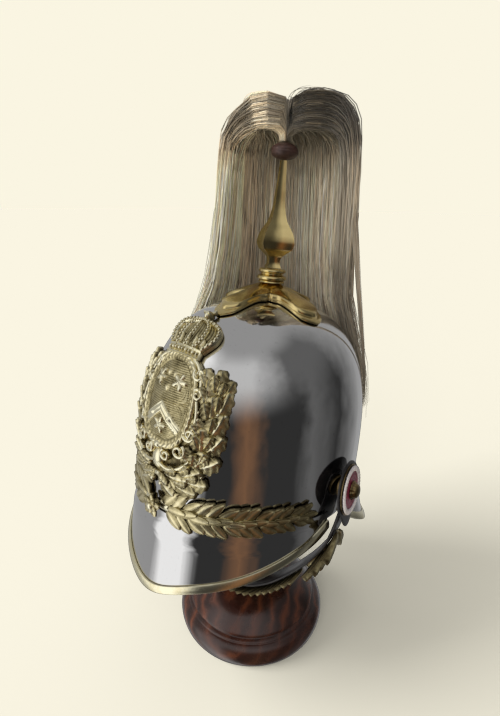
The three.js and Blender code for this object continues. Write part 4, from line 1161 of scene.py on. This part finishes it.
def tubes(shell, path, radius):
    """Three sided strands: a triangle square to the path, drawn in to a point at both ends."""
    ahead = np.gradient(path, axis=1)
    ahead /= np.linalg.norm(ahead, axis=-1, keepdims=True)
    across = np.cross(ahead, np.array([0.31, 0.17, 0.93]))
    across /= np.linalg.norm(across, axis=-1, keepdims=True)
    other = np.cross(ahead, across)
    thin = np.interp(np.linspace(0, 1, path.shape[1]), [0, 0.08, 0.7, 1],
                     [0.7, 1, 0.9, 0.12])[None, :, None, None]
    angle = around(3)[None, None, :, None]
    ring = across[:, :, None] * np.cos(angle) + other[:, :, None] * np.sin(angle)
    rings = path[:, :, None] + ring * thin * np.reshape(radius, (-1, 1, 1, 1))
    shell.loft(rings, np.stack([path[:, 0], path[:, -1]], 1))


def hair_tint(colour, share, path, rng):
    """Blond on the crest's left, dark with blond streaks on its right, tan where it hangs; partly
    painted light, with painted shade at the parting.
    """
    strands = len(path)
    height = path[..., 2:]
    share = share[:, None, None]
    blond, brown, grey = [np.array(tone)
                          for tone in ((0.74, 0.62, 0.45), (0.60, 0.47, 0.32), (0.78, 0.68, 0.54))]
    crest = smooth(height, 0.425, 0.470)
    # Partly the hair's own blond and dark, partly painted light: the crest is lighter on its left,
    # where the key light falls, than on its right.
    left = smooth(share, 0.45, 0.95)
    streaked = np.where(rng.random((strands, 1, 1)) < 0.20, 0.62, 0.22)
    bright = left + (1 - left) * streaked
    # Painted shade: strands at the parting are darkened, for the shade down into the plume.
    seam = 0.28 + 0.72 * smooth(np.minimum(share, 1 - share), 0.0, 0.055)
    # Painted shade: hanging strands next to the parting are darkened to half, for the shade on the
    # curtain's inner edge.
    outer = 0.50 + 0.50 * smooth(share, 0.02, 0.18)
    # Partly painted light: the brown that hangs on the left is made lighter towards the side where
    # the key light falls.
    hanging = (np.array(colour) * (1 - left) * 0.4 + grey * (1 - left) * 0.95
               + brown * left * (0.75 + 1.35 * smooth(share, 0.72, 0.92)))
    tone = hanging * outer * (1 - crest) + blond * bright * seam * crest
    locks = 1 + 0.20 * np.sin(share * 290) + 0.12 * np.sin(share * 127 + height * 34)
    each = rng.normal(1.0, 0.17, (strands, 1, 1)).clip(0.45, 1.6)
    warm = rng.normal(0.0, 0.05, (strands, 1, 1)) * np.array([1.0, 0.1, -0.9])
    dark = (rng.random((strands, 1, 1)) < 0.10) * 0.5
    return np.clip(tone * locks * each * (1 - dark) * (1 + warm), 0.01, 0.92)


def combed(count, rng):
    """Shares, layers and lock numbers of strands gathered round the locks' centres."""
    centre = (np.arange(LOCKS) + rng.uniform(0.25, 0.75, LOCKS)) / LOCKS
    lock = rng.integers(0, LOCKS, count)
    share = np.clip(centre[lock] + rng.normal(0, 0.011, count), 0.0, 1.0)
    layer = np.clip(rng.beta(1.6, 1.1, count), 0, 1)
    return share, layer, lock


def strand_paths(count, rng):
    """Strands with the waver of loose hair, drawn a little together towards each lock's tip."""
    share, layer, lock = combed(count, rng)
    ends = rng.normal(0, 7, count) + 9 * np.sin(lock * 2.4)
    path = hair_paths(share, layer, ends)
    rows = path.shape[1]
    t = np.linspace(0, 1, rows)[None, :, None]
    phase = rng.uniform(0, 2 * np.pi, (count, 1, 3))
    speed = rng.uniform(1.5, 4.5, (count, 1, 3))
    waver = np.sin(speed * np.pi * t + phase) * t * 0.0026
    loose = rng.normal(0, 0.0014, (count, 1, 3)) * smooth(t, 0.1, 0.5)
    loose[..., 2] *= 0.5
    path = path + waver + loose
    path[:, RISE_ROWS + 1:] = clear_of_skull(path[:, RISE_ROWS + 1:], 2.2)
    return path, share


THIN_LOCK = np.array([[49.0, 62.0, 401.0], [51.5, 64.5, 372.0], [54.5, 67.5, 345.0],
                      [58.5, 71.0, 314.0], [62.5, 75.0, 282.0], [66.0, 78.0, 246.0]])


def thin_lock(count, rng):
    """The narrow lock that has slipped from the plume's right side and hangs past the skull."""
    root = hair_paths(np.full(count, 0.015), rng.uniform(0.2, 0.9, count),
                      np.zeros(count))[:, :RISE_ROWS + 1]
    t = np.linspace(0, 1, HANG_ROWS)
    keys = np.linspace(0, 1, len(THIN_LOCK))
    hang = np.stack([np.interp(t, keys, THIN_LOCK[:, k]) for k in range(3)], -1)[None] * MM
    hang = hang + rng.normal(0, 0.0011, (count, 1, 3)) * (1.2 - t[None, :, None])
    hang[..., 2] += rng.normal(0, 0.006, (count, 1)) * t[None]
    hang = clear_of_skull(hang, 2.4)
    path = np.concatenate([root, hang], 1)
    middle = (path[:, :-2] + path[:, 1:-1] * 2 + path[:, 2:]) / 4
    return np.concatenate([path[:, :1], middle, path[:, -1:]], 1), np.full(count, 0.02)


def stray_paths(count, rng):
    """Loose hairs that stand off the crest and curl over: the first part of a finer path."""
    share, layer, _ = combed(count, rng)
    path = hair_paths(share, 0.86 + 0.12 * layer, np.zeros(count), (34, 4))
    t = np.linspace(0, 1, path.shape[1])[None, :, None]
    aside = rng.normal(0, 1, (count, 1, 3)) * np.array([0.006, 0.006, 0.0])
    path = path + aside * t * 1.6
    path[..., 2] += rng.uniform(0.0, 0.004,
                                (count, 1)) * np.sin(np.pi * np.clip(t[..., 0] * 1.6, 0, 1))
    rows = RISE_ROWS + 1 + HANG_ROWS
    pick = np.arange(rows)[None] * (rng.integers(12, 26, count)[:, None] / (rows - 1))
    low = np.floor(pick).astype(int)
    part = (pick - low)[..., None]
    each = np.arange(count)[:, None]
    return path[each, low] * (1 - part) + path[each, low + 1] * part, share


def plume_core():
    """A wall of locks inside the strands, coloured dark as painted shade: an even inner face and a
    ridged outer one.
    """
    share = np.linspace(0.012, 0.988, CORE_COLUMNS)
    drop = np.full(CORE_COLUMNS, CORE_DROP)
    inner = hair_paths(share, np.full(CORE_COLUMNS, 0.25), drop)
    ridge = 0.5 + 0.22 * np.sin(2 * np.pi * share * LOCKS)
    outer = hair_paths(share, ridge, drop)
    rings = np.concatenate([outer.transpose(1, 0, 2), inner.transpose(1, 0, 2)[:, ::-1]], 1)
    shell = Shell()
    shell.loft(rings, rings[[0, -1]].mean(1))
    # Painted shade: the core is coloured far darker than the strands, for the shade inside the
    # plume.
    tone = np.full((shell.count, 4), 1.0)
    tone[:, :3] = (0.17, 0.135, 0.095)
    return shell, tone


# Side fittings


def boss_frame(side):
    """Axes of a boss: along its axle out of the steel, up, and across."""
    turn = math.pi / 2 + math.asin(BOSS_BACK / HALF_LENGTH)
    seat = off_skull(np.array(turn), np.array(0.0), np.array(0.0))
    seat[2] = BOSS_HEIGHT
    lean = math.cos(BOSS_LEAN)
    out = np.array([math.cos(BOSS_TURN) * lean, math.sin(BOSS_TURN) * lean, math.sin(BOSS_LEAN)])
    across = np.array([-math.sin(BOSS_TURN), math.cos(BOSS_TURN), 0])
    above = np.cross(out, across)
    flip = np.array([side, 1, 1])

    def carry(p):
        p = np.asarray(p, float)
        spot = seat + p[..., :1] * across + p[..., 1:2] * above + p[..., 2:] * out
        return to_stand(spot * flip)

    return carry


BOSS_STACK = {"boss": 1.2, "strap": 4.6, "leather": 6.9, "plate": 9.0, "ring": 10.1, "button": 11.5}


def boss_post(side):
    low, high = BOSS_STACK["boss"], BOSS_STACK["strap"] - GAP
    rows = [(3, low), (8.6, low), (9, low + 0.4), (9, high - 0.5), (8.5, high),
            (3, high)]
    return lathe(rounded_rows(rows, 1), 48, boss_frame(side))


def cockade_leather(side):
    """A round backing drawn to a point below: radius grows by (-sin)^14, edges rounded."""
    low = BOSS_STACK["leather"]
    angle = around(96)
    radius = COCKADE_RADIUS + 3.4 + 9 * np.maximum(-np.sin(angle), 0) ** 14
    rows = [(0.35, low), (0.97, low), (1.0, low + 0.4), (1.0, low + 1.3), (0.975, low + 1.75),
            (0.93, low + 1.8), (0.35, low + 1.8)]
    rings = np.array([np.stack([radius * k * np.cos(angle), radius * k * np.sin(angle),
                                0 * angle + z], -1) for k, z in rows])
    shell = Shell()
    shell.loft(boss_frame(side)(rings),
               boss_frame(side)(np.array([[0, 0, low], [0, 0, low + 1.8]])))
    return shell


def cockade_plate(side):
    """A thin disc with a turned-up rim behind the ring."""
    low = BOSS_STACK["plate"]
    edge = COCKADE_RADIUS + 1
    rows = [(4, low), (edge, low), (edge, low + 0.4), (edge, low + 0.8), (edge - 0.8, low + 0.7),
            (4, low + 0.7)]
    return lathe(rows, 96, boss_frame(side))


FLUTES = 40


def cockade_ring(side):
    """A painted ring, half round, with fine flutes across it."""
    low = BOSS_STACK["ring"]
    inner, outer = COCKADE_RADIUS - RING_WIDTH, COCKADE_RADIUS
    t = around(16)[:, None]
    angle = around(240)[None]
    middle, half = (inner + outer) / 2, (outer - inner) / 2
    radius = middle + half * np.cos(t) * (1 + 0.03 * np.cos(FLUTES * angle))
    high = low + 1.0 + 1.0 * np.sin(t) * (1 + 0.12 * np.cos(FLUTES * angle))
    rings = np.stack([radius * np.cos(angle), radius * np.sin(angle), high + 0 * radius], -1)
    shell = Shell()
    shell.loft(boss_frame(side)(rings))
    return shell


def cockade_field(side):
    """A shallow dome with two faint rings."""
    low = BOSS_STACK["ring"]
    edge = COCKADE_RADIUS - RING_WIDTH - GAP
    r = np.linspace(0.06, 1, 26)
    top = low + 1.1 - 0.3 * r**2 + 0.14 * np.cos(2 * np.pi * r * 4)
    rows = np.concatenate([[(edge * 0.3, low), (edge, low)], np.stack([edge * r, top], -1)[::-1]])
    return lathe(rows, 96, boss_frame(side))


def cockade_button(side):
    """A domed button with twelve petals round a plain boss."""
    low = BOSS_STACK["button"]
    rows = rounded_rows([(2, low), (7.6, low), (7.7, low + 1.0), (6.9, low + 1.7), (6.2, low + 2.6),
                         (5.8, low + 4.0), (4.2, low + 5.4), (1.5, low + 5.95)], 2)

    def petals(radius, angle):
        return 0.05 * np.cos(12 * angle) * smooth(radius, 5.6, 6.6)

    return lathe(rows, 120, boss_frame(side), 0.7, petals)


# Chin strap


STRAP_HALF = [(94.5, -3, -26), (88, -7, -41), (78, -10, -57), (64, -12, -75), (47, -13, -93),
              (25, -13.5, -109), (0, -13.5, -116)]


def strap_line():
    """Points along the strap by the centripetal Catmull-Rom curve, with their running length."""
    level = BOSS_STACK["strap"] + STRAP_THICKNESS / 2
    start = to_helmet(boss_frame(1)(np.array([[0, up, level] for up in (11, -3, -13)])))
    half = np.concatenate([start, np.array(STRAP_HALF, float)])
    points = np.concatenate([half, half[-2::-1] * (-1, 1, 1)])
    points = np.concatenate([2 * points[:1] - points[1:2], points, 2 * points[-1:] - points[-2:-1]])
    knots = np.concatenate([[0], np.cumsum(np.linalg.norm(np.diff(points, axis=0), axis=1) ** 0.5)])
    at = np.linspace(knots[1], knots[-2], 1200)
    i = np.clip(np.searchsorted(knots, at, side="right") - 1, 1, len(points) - 3)
    t0, t1, t2, t3 = [knots[i + k][:, None] for k in (-1, 0, 1, 2)]
    p0, p1, p2, p3 = [points[i + k] for k in (-1, 0, 1, 2)]
    t = at[:, None]
    a1 = (t1 - t) / (t1 - t0) * p0 + (t - t0) / (t1 - t0) * p1
    a2 = (t2 - t) / (t2 - t1) * p1 + (t - t1) / (t2 - t1) * p2
    a3 = (t3 - t) / (t3 - t2) * p2 + (t - t2) / (t3 - t2) * p3
    b1 = (t2 - t) / (t2 - t0) * a1 + (t - t0) / (t2 - t0) * a2
    b2 = (t3 - t) / (t3 - t1) * a2 + (t - t1) / (t3 - t1) * a3
    line = (t2 - t) / (t2 - t1) * b1 + (t - t1) / (t2 - t1) * b2
    length = np.concatenate([[0], np.cumsum(np.linalg.norm(np.diff(line, axis=0), axis=1))])
    return line, length


STRAP_LINE, STRAP_RUN = strap_line()
STRAP_LENGTH = STRAP_RUN[-1]


def on_strap(along, across, out):
    """A place by millimetres along the strap from its left end, across it and out from its face."""
    along, across, out = np.broadcast_arrays(np.asarray(along, float), across, out)
    slope = np.gradient(STRAP_LINE, STRAP_RUN, axis=0)
    at = np.stack([np.interp(along, STRAP_RUN, STRAP_LINE[:, k]) for k in range(3)], -1)
    ahead = np.stack([np.interp(along, STRAP_RUN, slope[:, k]) for k in range(3)], -1)
    ahead /= np.linalg.norm(ahead, axis=-1, keepdims=True)
    square = np.stack([-math.sin(BOSS_TURN) * at[..., 0] / STRAP_LINE[0, 0], 1 + 0 * along,
                       0 * along], -1)
    aside = square - (square * ahead).sum(-1, keepdims=True) * ahead
    aside /= np.linalg.norm(aside, axis=-1, keepdims=True)
    outward = np.cross(ahead, aside)
    return at + aside * across[..., None] + outward * (out + STRAP_THICKNESS / 2)[..., None]


def on_strap_from(side):
    """The same laid out from either end; across stays the same way round on both halves."""
    def place(along, across, out):
        along = np.abs(along)
        return on_strap(along if side > 0 else STRAP_LENGTH - along, across, out)
    return place


def chin_strap():
    """A flat leather band with rounded edges and a stitched groove along both."""
    half, thick = STRAP_WIDTH / 2, STRAP_THICKNESS
    along = np.linspace(0, STRAP_LENGTH, 200)[:, None]
    ends = np.minimum(along, STRAP_LENGTH - along)
    wide = half * (0.6 + 0.4 * np.sqrt(np.clip(ends / 9, 0, 1)))
    share = np.array([-1, -0.985, -0.93, -0.84, -0.80, -0.76, -0.4, 0, 0.4, 0.76, 0.80, 0.84, 0.93,
                      0.985, 1])[None]
    face = np.array([-0.9, -0.35, -0.05, 0, -0.3, 0, 0.0, 0, 0.0, 0, -0.3, 0, -0.05, -0.35,
                     -0.9])[None]
    outer = on_strap(along + 0 * share, wide * share, face + 0 * along)
    inner = on_strap(along + 0 * share, wide * share, -thick - face * 0.5 + 0 * along)
    rings = np.concatenate([outer, inner[:, ::-1]], 1)
    return lofted(rings)


LEAF_START = 46.5
LEAF_END = 92.0


def strap_leaf(side):
    """Long pointed leaves below the cockade, fanned over a stem."""
    place = on_strap_from(side)
    shell = Shell()
    at = np.linspace(LEAF_START, LEAF_END - 6, 8)
    ribbon(shell, place, np.stack([at, 0 * at, 0 * at + 3.6], 1), 2 * GAP, bead_section(1.6),
           steps=30)
    table = []
    for start, heading, long in ((0, 40, 22), (6, 30, 23), (12, 40, 24), (18, 28, 24),
                                 (23, 34, 22)):
        for fold in (1, -1):
            table.append((LEAF_START + start, fold * 3.0, fold * heading, long + 3, 10.5,
                          -fold * 26, 7.0))
    table.append((LEAF_END - 20, 0, 0, 19.5, 6.5, 0, 2.2))
    leaves(shell, place, table, laurel, 0.8, 0.9, 1.9, grid=(16, 11))
    shell.relief = [0.68 * relief for relief in shell.relief]
    return shell


def chin_leaves(side):
    """A row of small slanted leaves, each tip over the next."""
    place = on_strap_from(side)
    start, end = LEAF_END + 1, STRAP_LENGTH / 2 - 1
    shell = Shell()
    at = np.linspace(start, end, 12)
    ribbon(shell, place, np.stack([at, 0 * at, 0 * at + 2.6], 1), 2 * GAP, bead_section(1.4),
           steps=50)
    table = []
    for along in np.linspace(start + 0.5, end - 13, 11):
        for fold in (1, -1):
            table.append((along, fold * 1.5, fold * 52, 20, 7.0, -fold * 26, 3.6))
    leaves(shell, place, table, laurel, 0.7, 0.7, 1.4, grid=(13, 9))
    shell.relief = [0.55 * relief for relief in shell.relief]
    return shell


# Stand


def stand_frame(p):
    return np.asarray(p, float) * MM


def stand_base():
    """A dome over a groove and two soft mouldings, by corner cutting on its profile."""
    rows = rounded_rows([(20, 0), (70.0, 0), (71.2, 0.6), (72.4, 3.5), (STAND_RADIUS, 9),
                         (72.8, 14), (70.4, 18.6), (67.2, 20.8), (65.6, 21.4), (65.2, 22.4),
                         (63.4, 23.4), (61.6, 24.2), (61.6, 25.4), (63.6, 26.6), (63.4, 28.4),
                         (61.0, 31.2), (56.6, 36.2), (50, 41.8), (41, 46.6), (30, 49.8), (21, 51.6),
                         (17.2, 53.4), (16.2, STEM_FOOT - 0.6), (15.4, STEM_FOOT),
                         (6, STEM_FOOT)],
                        2)
    return lathe(rows, 112, stand_frame)


def stand_stem():
    """A straight stem with a small turned foot."""
    low, top = STEM_FOOT + GAP, HEAD_TOP - HEAD_DEPTH - GAP
    rows = rounded_rows([(5, low), (14.3, low), (15.6, low + 2), (15.2, low + 4.4),
                         (12.6, low + 6.4), (12.4, low + 9), (STEM_RADIUS - 1, low + 40),
                         (STEM_RADIUS - 0.6, low + 120), (STEM_RADIUS, top), (5, top)], 2)
    return lathe(rows, 72, stand_frame)


def stand_head():
    """A low dome over a cone, to fill the crown of the skull."""
    radius = np.linspace(2, HEAD_RADIUS - 0.6, 24)
    top = HEAD_TOP - HEAD_DOME + np.sqrt(HEAD_DOME**2 - radius**2)
    low = HEAD_TOP - HEAD_DEPTH
    side = [(HEAD_RADIUS, top[-1] - 0.8), (HEAD_RADIUS, HEAD_TOP - 18), (20, low + 4), (16, low),
            (5, low)]
    return lathe(np.concatenate([np.stack([radius, top], -1), side]), 96, stand_frame)


# Stage


class StageSettings(bpy.types.PropertyGroup):
    """Background, light and camera."""

    background: bpy.props.FloatVectorProperty(
        name="Background", description="Colour of the floor and of what lies behind it",
        subtype="COLOR", default=(0.956, 0.913, 0.761))
    key_power: bpy.props.FloatProperty(
        name="Key light", description="Power of the soft light on the left", default=15.0, min=0,
        subtype="POWER")
    lens: bpy.props.FloatProperty(
        name="Lens", description="Focal length on a 36 mm long side", default=22.829, min=10,
        subtype="DISTANCE_CAMERA")


LAMP_TARGET = (0, 0, 0.25)
FLOOR_RADIUS = 12
FLOOR_DROP = 0.0002
FLOOR_THICKNESS = 0.001
SENSOR = 36
NEAREST, FARTHEST = 0.02, 20
EYE = np.array([249.17, -275.78, 415.03]) * MM
BEARING, PITCH, ROLL = math.radians(42.82), math.radians(19.885), math.radians(0.775)


def camera(lens):
    """Looks from the eye point along its bearing, pitched down and rolled a little."""
    ahead = Vector((-math.sin(BEARING) * math.cos(PITCH), math.cos(BEARING) * math.cos(PITCH),
                    -math.sin(PITCH)))
    right = Vector((math.cos(BEARING), math.sin(BEARING), 0))
    up = right.cross(ahead)
    across = right * math.cos(ROLL) + up * math.sin(ROLL)
    above = -right * math.sin(ROLL) + up * math.cos(ROLL)
    data = bpy.data.cameras.new("camera")
    data.lens = lens
    data.sensor_width = SENSOR
    data.clip_start, data.clip_end = NEAREST, FARTHEST
    view = bpy.data.objects.new("camera", data)
    turn = Matrix((across, above, -ahead)).transposed().to_4x4()
    view.matrix_world = Matrix.Translation(Vector(EYE)) @ turn
    bpy.context.scene.collection.objects.link(view)
    bpy.context.scene.camera = view


def floor(colour):
    """A wide disc that only takes shadows: what lies behind it is the plain background."""
    radius = np.linspace(0.02, 1, 12)[:, None] ** 2 * FLOOR_RADIUS
    angle = around(96)[None]
    rings = np.stack([radius * np.cos(angle), radius * np.sin(angle),
                      -FLOOR_DROP + 0 * radius * angle], -1)
    low = rings[::-5] - (0, 0, FLOOR_THICKNESS)
    shell = Shell()
    shell.loft(np.concatenate([rings, low]),
               [(0, 0, -FLOOR_DROP), (0, 0, -FLOOR_DROP - FLOOR_THICKNESS)])
    made = Finish("floor", colour, 0, 0.9)
    made.shader.inputs["Specular IOR Level"].default_value = 0.05
    ground = shell.mesh("floor", made.material, sharp=0)
    ground.visible_glossy = False
    ground.is_shadow_catcher = True
    return ground


WINDOW, PALE, GREY, DIM, DARK = [(tone, tone, tone) for tone in (1.2, 0.7, 0.4, 0.15, 0.04)]
WOODWORK = (0.25, 0.13, 0.07)


class World:
    """The room that the metal mirrors: six plain tones by share of a turn from behind, low and
    high, mixed by how steeply a ray climbs."""

    LOW = [(0.0, GREY), (0.38, GREY), (0.41, WINDOW), (0.49, WINDOW), (0.54, DARK), (0.60, DARK),
           (0.65, WOODWORK), (0.70, DARK), (0.78, DARK), (0.82, DIM), (0.90, DARK),
           (1.0, GREY)]
    HIGH = [(0.0, GREY), (0.40, GREY), (0.44, WINDOW), (0.52, PALE), (0.66, PALE), (0.78, DIM),
            (0.90, DIM), (1.0, GREY)]
    CLIMB_TO_HIGH = (0.0, 0.55)
    CLIMB_TO_CEILING = (0.74, 0.95)
    RIPPLES = ((2.2, 2, 0.05), (9.0, 4, 0.028))  # noise scale, detail and reach as a share


def room(colour):
    """World shader: camera rays see the background, others the room by bearing and elevation."""
    world = bpy.data.worlds.new("room")
    world.use_nodes = True
    w = Nodes(world.node_tree)
    w.tree.nodes.clear()
    where = w.node("ShaderNodeTexCoord").outputs["Generated"]
    x, y, z = w.node("ShaderNodeSeparateXYZ", links={0: where}).outputs
    bearing = w.math("ARCTAN2", x, w.math("MULTIPLY", y, -1))
    moved = w.ranged(bearing, -math.pi, math.pi, 0, 1)
    for scale, detail, reach in World.RIPPLES:
        links = {"Vector": where, "Scale": scale, "Detail": detail}
        ripple = w.node("ShaderNodeTexNoise", links=links).outputs[0]
        moved = w.math("ADD", moved, w.math("MULTIPLY_ADD", ripple, reach, -reach / 2))

    def level(climb, below, above):
        return w.mixed(w.ranged(z, *climb, 0, 1, interpolation_type="SMOOTHSTEP"), below, above)

    walls = level(World.CLIMB_TO_HIGH, w.ramp(moved, World.LOW), w.ramp(moved, World.HIGH))
    mirrored = w.node("ShaderNodeBackground", links={0: level(World.CLIMB_TO_CEILING, walls, GREY)})
    seen = w.node("ShaderNodeBackground", links={0: (*colour, 1)})
    from_camera = w.node("ShaderNodeLightPath").outputs["Is Camera Ray"]
    links = {0: from_camera, 1: mirrored.outputs[0], 2: seen.outputs[0]}
    both = w.node("ShaderNodeMixShader", links=links)
    w.node("ShaderNodeOutputWorld", links={0: both.outputs[0]})
    bpy.context.scene.world = world


def lamp(name, position, size, power, colour):
    """A square area light that faces the helmet's middle."""
    data = bpy.data.lights.new(name, "AREA")
    data.size, data.energy, data.color = size, power, colour
    light = bpy.data.objects.new(name, data)
    light.location = position
    light.rotation_euler = (Vector(LAMP_TARGET)
                            - Vector(position)).to_track_quat("-Z", "Y").to_euler()
    light.visible_glossy = False
    bpy.context.scene.collection.objects.link(light)


# Operators


class HELMET_OT_skull(bpy.types.Operator):
    """Raises the polished steel skull"""

    bl_idname = "helmet.skull"
    bl_label = "Skull"

    def execute(self, context):
        skull_shell().piece("skull_shell", finish("polished_steel"), "polished_steel", ["skull"])
        return {"FINISHED"}


class HELMET_OT_peaks(bpy.types.Operator):
    """Sets the front peak and the neck guard with their brass bindings"""

    bl_idname = "helmet.peaks"
    bl_label = "Peaks and bindings"

    def execute(self, context):
        for word, peak in PEAKS.items():
            peak_sheet(peak).piece(f"{word}_peak_sheet", finish("polished_steel"), "polished_steel",
                                   [f"{word}_peak"])
            peak_binding(peak).piece(f"{word}_edge_strip", finish("struck_brass"), "brass",
                                     [f"{word}_peak_binding"])
        return {"FINISHED"}


class HELMET_OT_plate(bpy.types.Operator):
    """Strikes the crowned front plate"""

    bl_idname = "helmet.plate"
    bl_label = "Front plate"

    def execute(self, context):
        front_plate().piece("struck_plate", finish("struck_brass"), "brass", ["front_plate"], 50)
        return {"FINISHED"}


class HELMET_OT_garland(bpy.types.Operator):
    """Lays the laurel garland and its rosette along the base line"""

    bl_idname = "helmet.garland"
    bl_label = "Garland"

    def execute(self, context):
        for word, side in SIDES.items():
            garland(side).piece(f"laurel_{word}", finish("struck_brass"), "brass",
                                [f"garland_{word}"], 50)
        garland_rosette().piece("rosette", finish("struck_brass"), "brass", ["garland_rosette"], 50)
        return {"FINISHED"}


class HELMET_OT_spike(bpy.types.Operator):
    """Fits the cross, the collar, the spike and the knob of the plume"""

    bl_idname = "helmet.spike"
    bl_label = "Plume fitting"

    def execute(self, context):
        brass = finish("polished_brass")
        plume_base().piece("crown_cross", brass, "brass", ["plume_base"], 30)
        spike_collar().piece("collar", brass, "brass", ["spike_collar"])
        spike().piece("square_spike", brass, "brass", ["spike"], 40)
        plume_knob().piece("knob", finish("brown_leather"), "brown_leather", ["plume_knob"])
        return {"FINISHED"}


class HELMET_OT_plume(bpy.types.Operator):
    """Combs the horsehair plume over its core of locks"""

    bl_idname = "helmet.plume"
    bl_label = "Plume"

    def execute(self, context):
        settings = context.scene.helmet_plume
        colour = tuple(context.scene.helmet_finish.hair)
        rng = np.random.default_rng(settings.seed)
        material = finish("horsehair")
        core, tone = plume_core()
        core.piece("plume_locks", material, "horsehair", ["plume"], 0, tone)
        for bundle in range(settings.bundles):
            count = settings.strands
            path, share = strand_paths(count, rng)
            radius = np.full(count, settings.thickness * (1))
            if bundle == 0:
                for extra, extra_share in (thin_lock(60, rng), stray_paths(50, rng)):
                    path = np.concatenate([path, extra])
                    share = np.concatenate([share, extra_share])
                    radius = np.concatenate([radius, np.full(len(extra), settings.thickness * 0.6)])
            shell = Shell()
            tubes(shell, path, radius)
            tint = hair_tint(colour, share, path, rng)
            rows = np.concatenate([np.repeat(tint, 3, 1), tint[:, :1], tint[:, -1:]], 1)
            tint = np.concatenate([rows, np.ones((*rows.shape[:2], 1))], -1).reshape(-1, 4)
            shell.piece(f"hair_{bundle + 1}", material, "horsehair", (), 0, tint)
        return {"FINISHED"}


class HELMET_OT_cockades(bpy.types.Operator):
    """Builds the cockade on each side on its boss"""

    bl_idname = "helmet.cockades"
    bl_label = "Cockades"

    def execute(self, context):
        parts = (
            ("boss", boss_post, "dull_brass", "dull_brass", "boss"),
            ("backing", cockade_leather, "black_leather", "black_leather", "cockade_leather"),
            ("disc", cockade_plate, "dull_brass", "dull_brass", "cockade_plate"),
            ("white_ring", cockade_ring, "white_enamel", "white_enamel", "cockade_ring"),
            ("field", cockade_field, "crimson_enamel", "crimson_enamel", "cockade_field"),
            ("button", cockade_button, "dull_brass", "dull_brass", "cockade_button"),
        )
        for word, side in SIDES.items():
            for name, make, look, slot, node in parts:
                make(side).piece(f"{name}_piece_{word}", finish(look), slot, [f"{node}_{word}"])
        return {"FINISHED"}


class HELMET_OT_strap(bpy.types.Operator):
    """Hangs the leather chin strap with its brass leaves"""

    bl_idname = "helmet.strap"
    bl_label = "Chin strap"

    def execute(self, context):
        chin_strap().piece("strap_band", finish("black_leather"), "black_leather", ["chin_strap"])
        for word, side in SIDES.items():
            strap_leaf(side).piece(f"long_leaves_{word}", finish("struck_brass"), "brass",
                                   [f"strap_leaf_{word}"], 50)
            chin_leaves(side).piece(f"small_leaves_{word}", finish("struck_brass"), "brass",
                                    [f"chin_leaves_{word}"], 50)
        return {"FINISHED"}


class HELMET_OT_stand(bpy.types.Operator):
    """Turns the wooden stand"""

    bl_idname = "helmet.stand"
    bl_label = "Stand"

    def execute(self, context):
        wood = finish("turned_wood")
        stand_base().piece("foot", wood, "red_wood", ["stand_base"])
        stand_stem().piece("stem", wood, "red_wood", ["stand_stem"])
        stand_head().piece("head", wood, "red_wood", ["stand_head"])
        return {"FINISHED"}


class HELMET_OT_stage(bpy.types.Operator):
    """Sets the floor, the lights and the camera"""

    bl_idname = "helmet.stage"
    bl_label = "Stage"

    def execute(self, context):
        settings = context.scene.helmet_stage
        floor(tuple(settings.background))
        room(tuple(settings.background))
        lamp("key", (-0.95, -1.10, 1.35), 1.0, settings.key_power * 2.2, (1.0, 0.98, 0.95))
        lamp("fill", (0.9, -1.3, 1.2), 1.4, settings.key_power * 0.8, (1.0, 0.97, 0.92))
        camera(settings.lens)
        context.scene.view_settings.view_transform = "Standard"
        return {"FINISHED"}


class HELMET_PT_panel(bpy.types.Panel):
    """Lists the helmet's pieces and their settings"""

    bl_idname = "HELMET_PT_panel"
    bl_label = "Cavalry helmet"
    bl_space_type = "VIEW_3D"
    bl_region_type = "UI"
    bl_category = "Helmet"

    def draw(self, context):
        for operator in OPERATORS:
            self.layout.operator(operator.bl_idname)
        for group in (context.scene.helmet_finish, context.scene.helmet_plume,
                      context.scene.helmet_stage):
            for name in group.__annotations__:
                self.layout.prop(group, name)


OPERATORS = (HELMET_OT_stage, HELMET_OT_skull, HELMET_OT_peaks, HELMET_OT_plate, HELMET_OT_garland,
             HELMET_OT_spike,
             HELMET_OT_plume, HELMET_OT_cockades, HELMET_OT_strap, HELMET_OT_stand)
SETTINGS = {"helmet_finish": FinishSettings, "helmet_plume": PlumeSettings,
            "helmet_stage": StageSettings}


def register():
    for group in SETTINGS.values():
        bpy.utils.register_class(group)
    for name, group in SETTINGS.items():
        setattr(bpy.types.Scene, name, bpy.props.PointerProperty(type=group))
    for operator in OPERATORS:
        bpy.utils.register_class(operator)
    bpy.utils.register_class(HELMET_PT_panel)


def unregister():
    bpy.utils.unregister_class(HELMET_PT_panel)
    for operator in reversed(OPERATORS):
        bpy.utils.unregister_class(operator)
    for name in SETTINGS:
        delattr(bpy.types.Scene, name)
    for group in SETTINGS.values():
        bpy.utils.unregister_class(group)


def main():
    register()
    for operator in OPERATORS:
        group, name = operator.bl_idname.split(".")
        getattr(getattr(bpy.ops, group), name)()


if __name__ == "__main__":
    main()
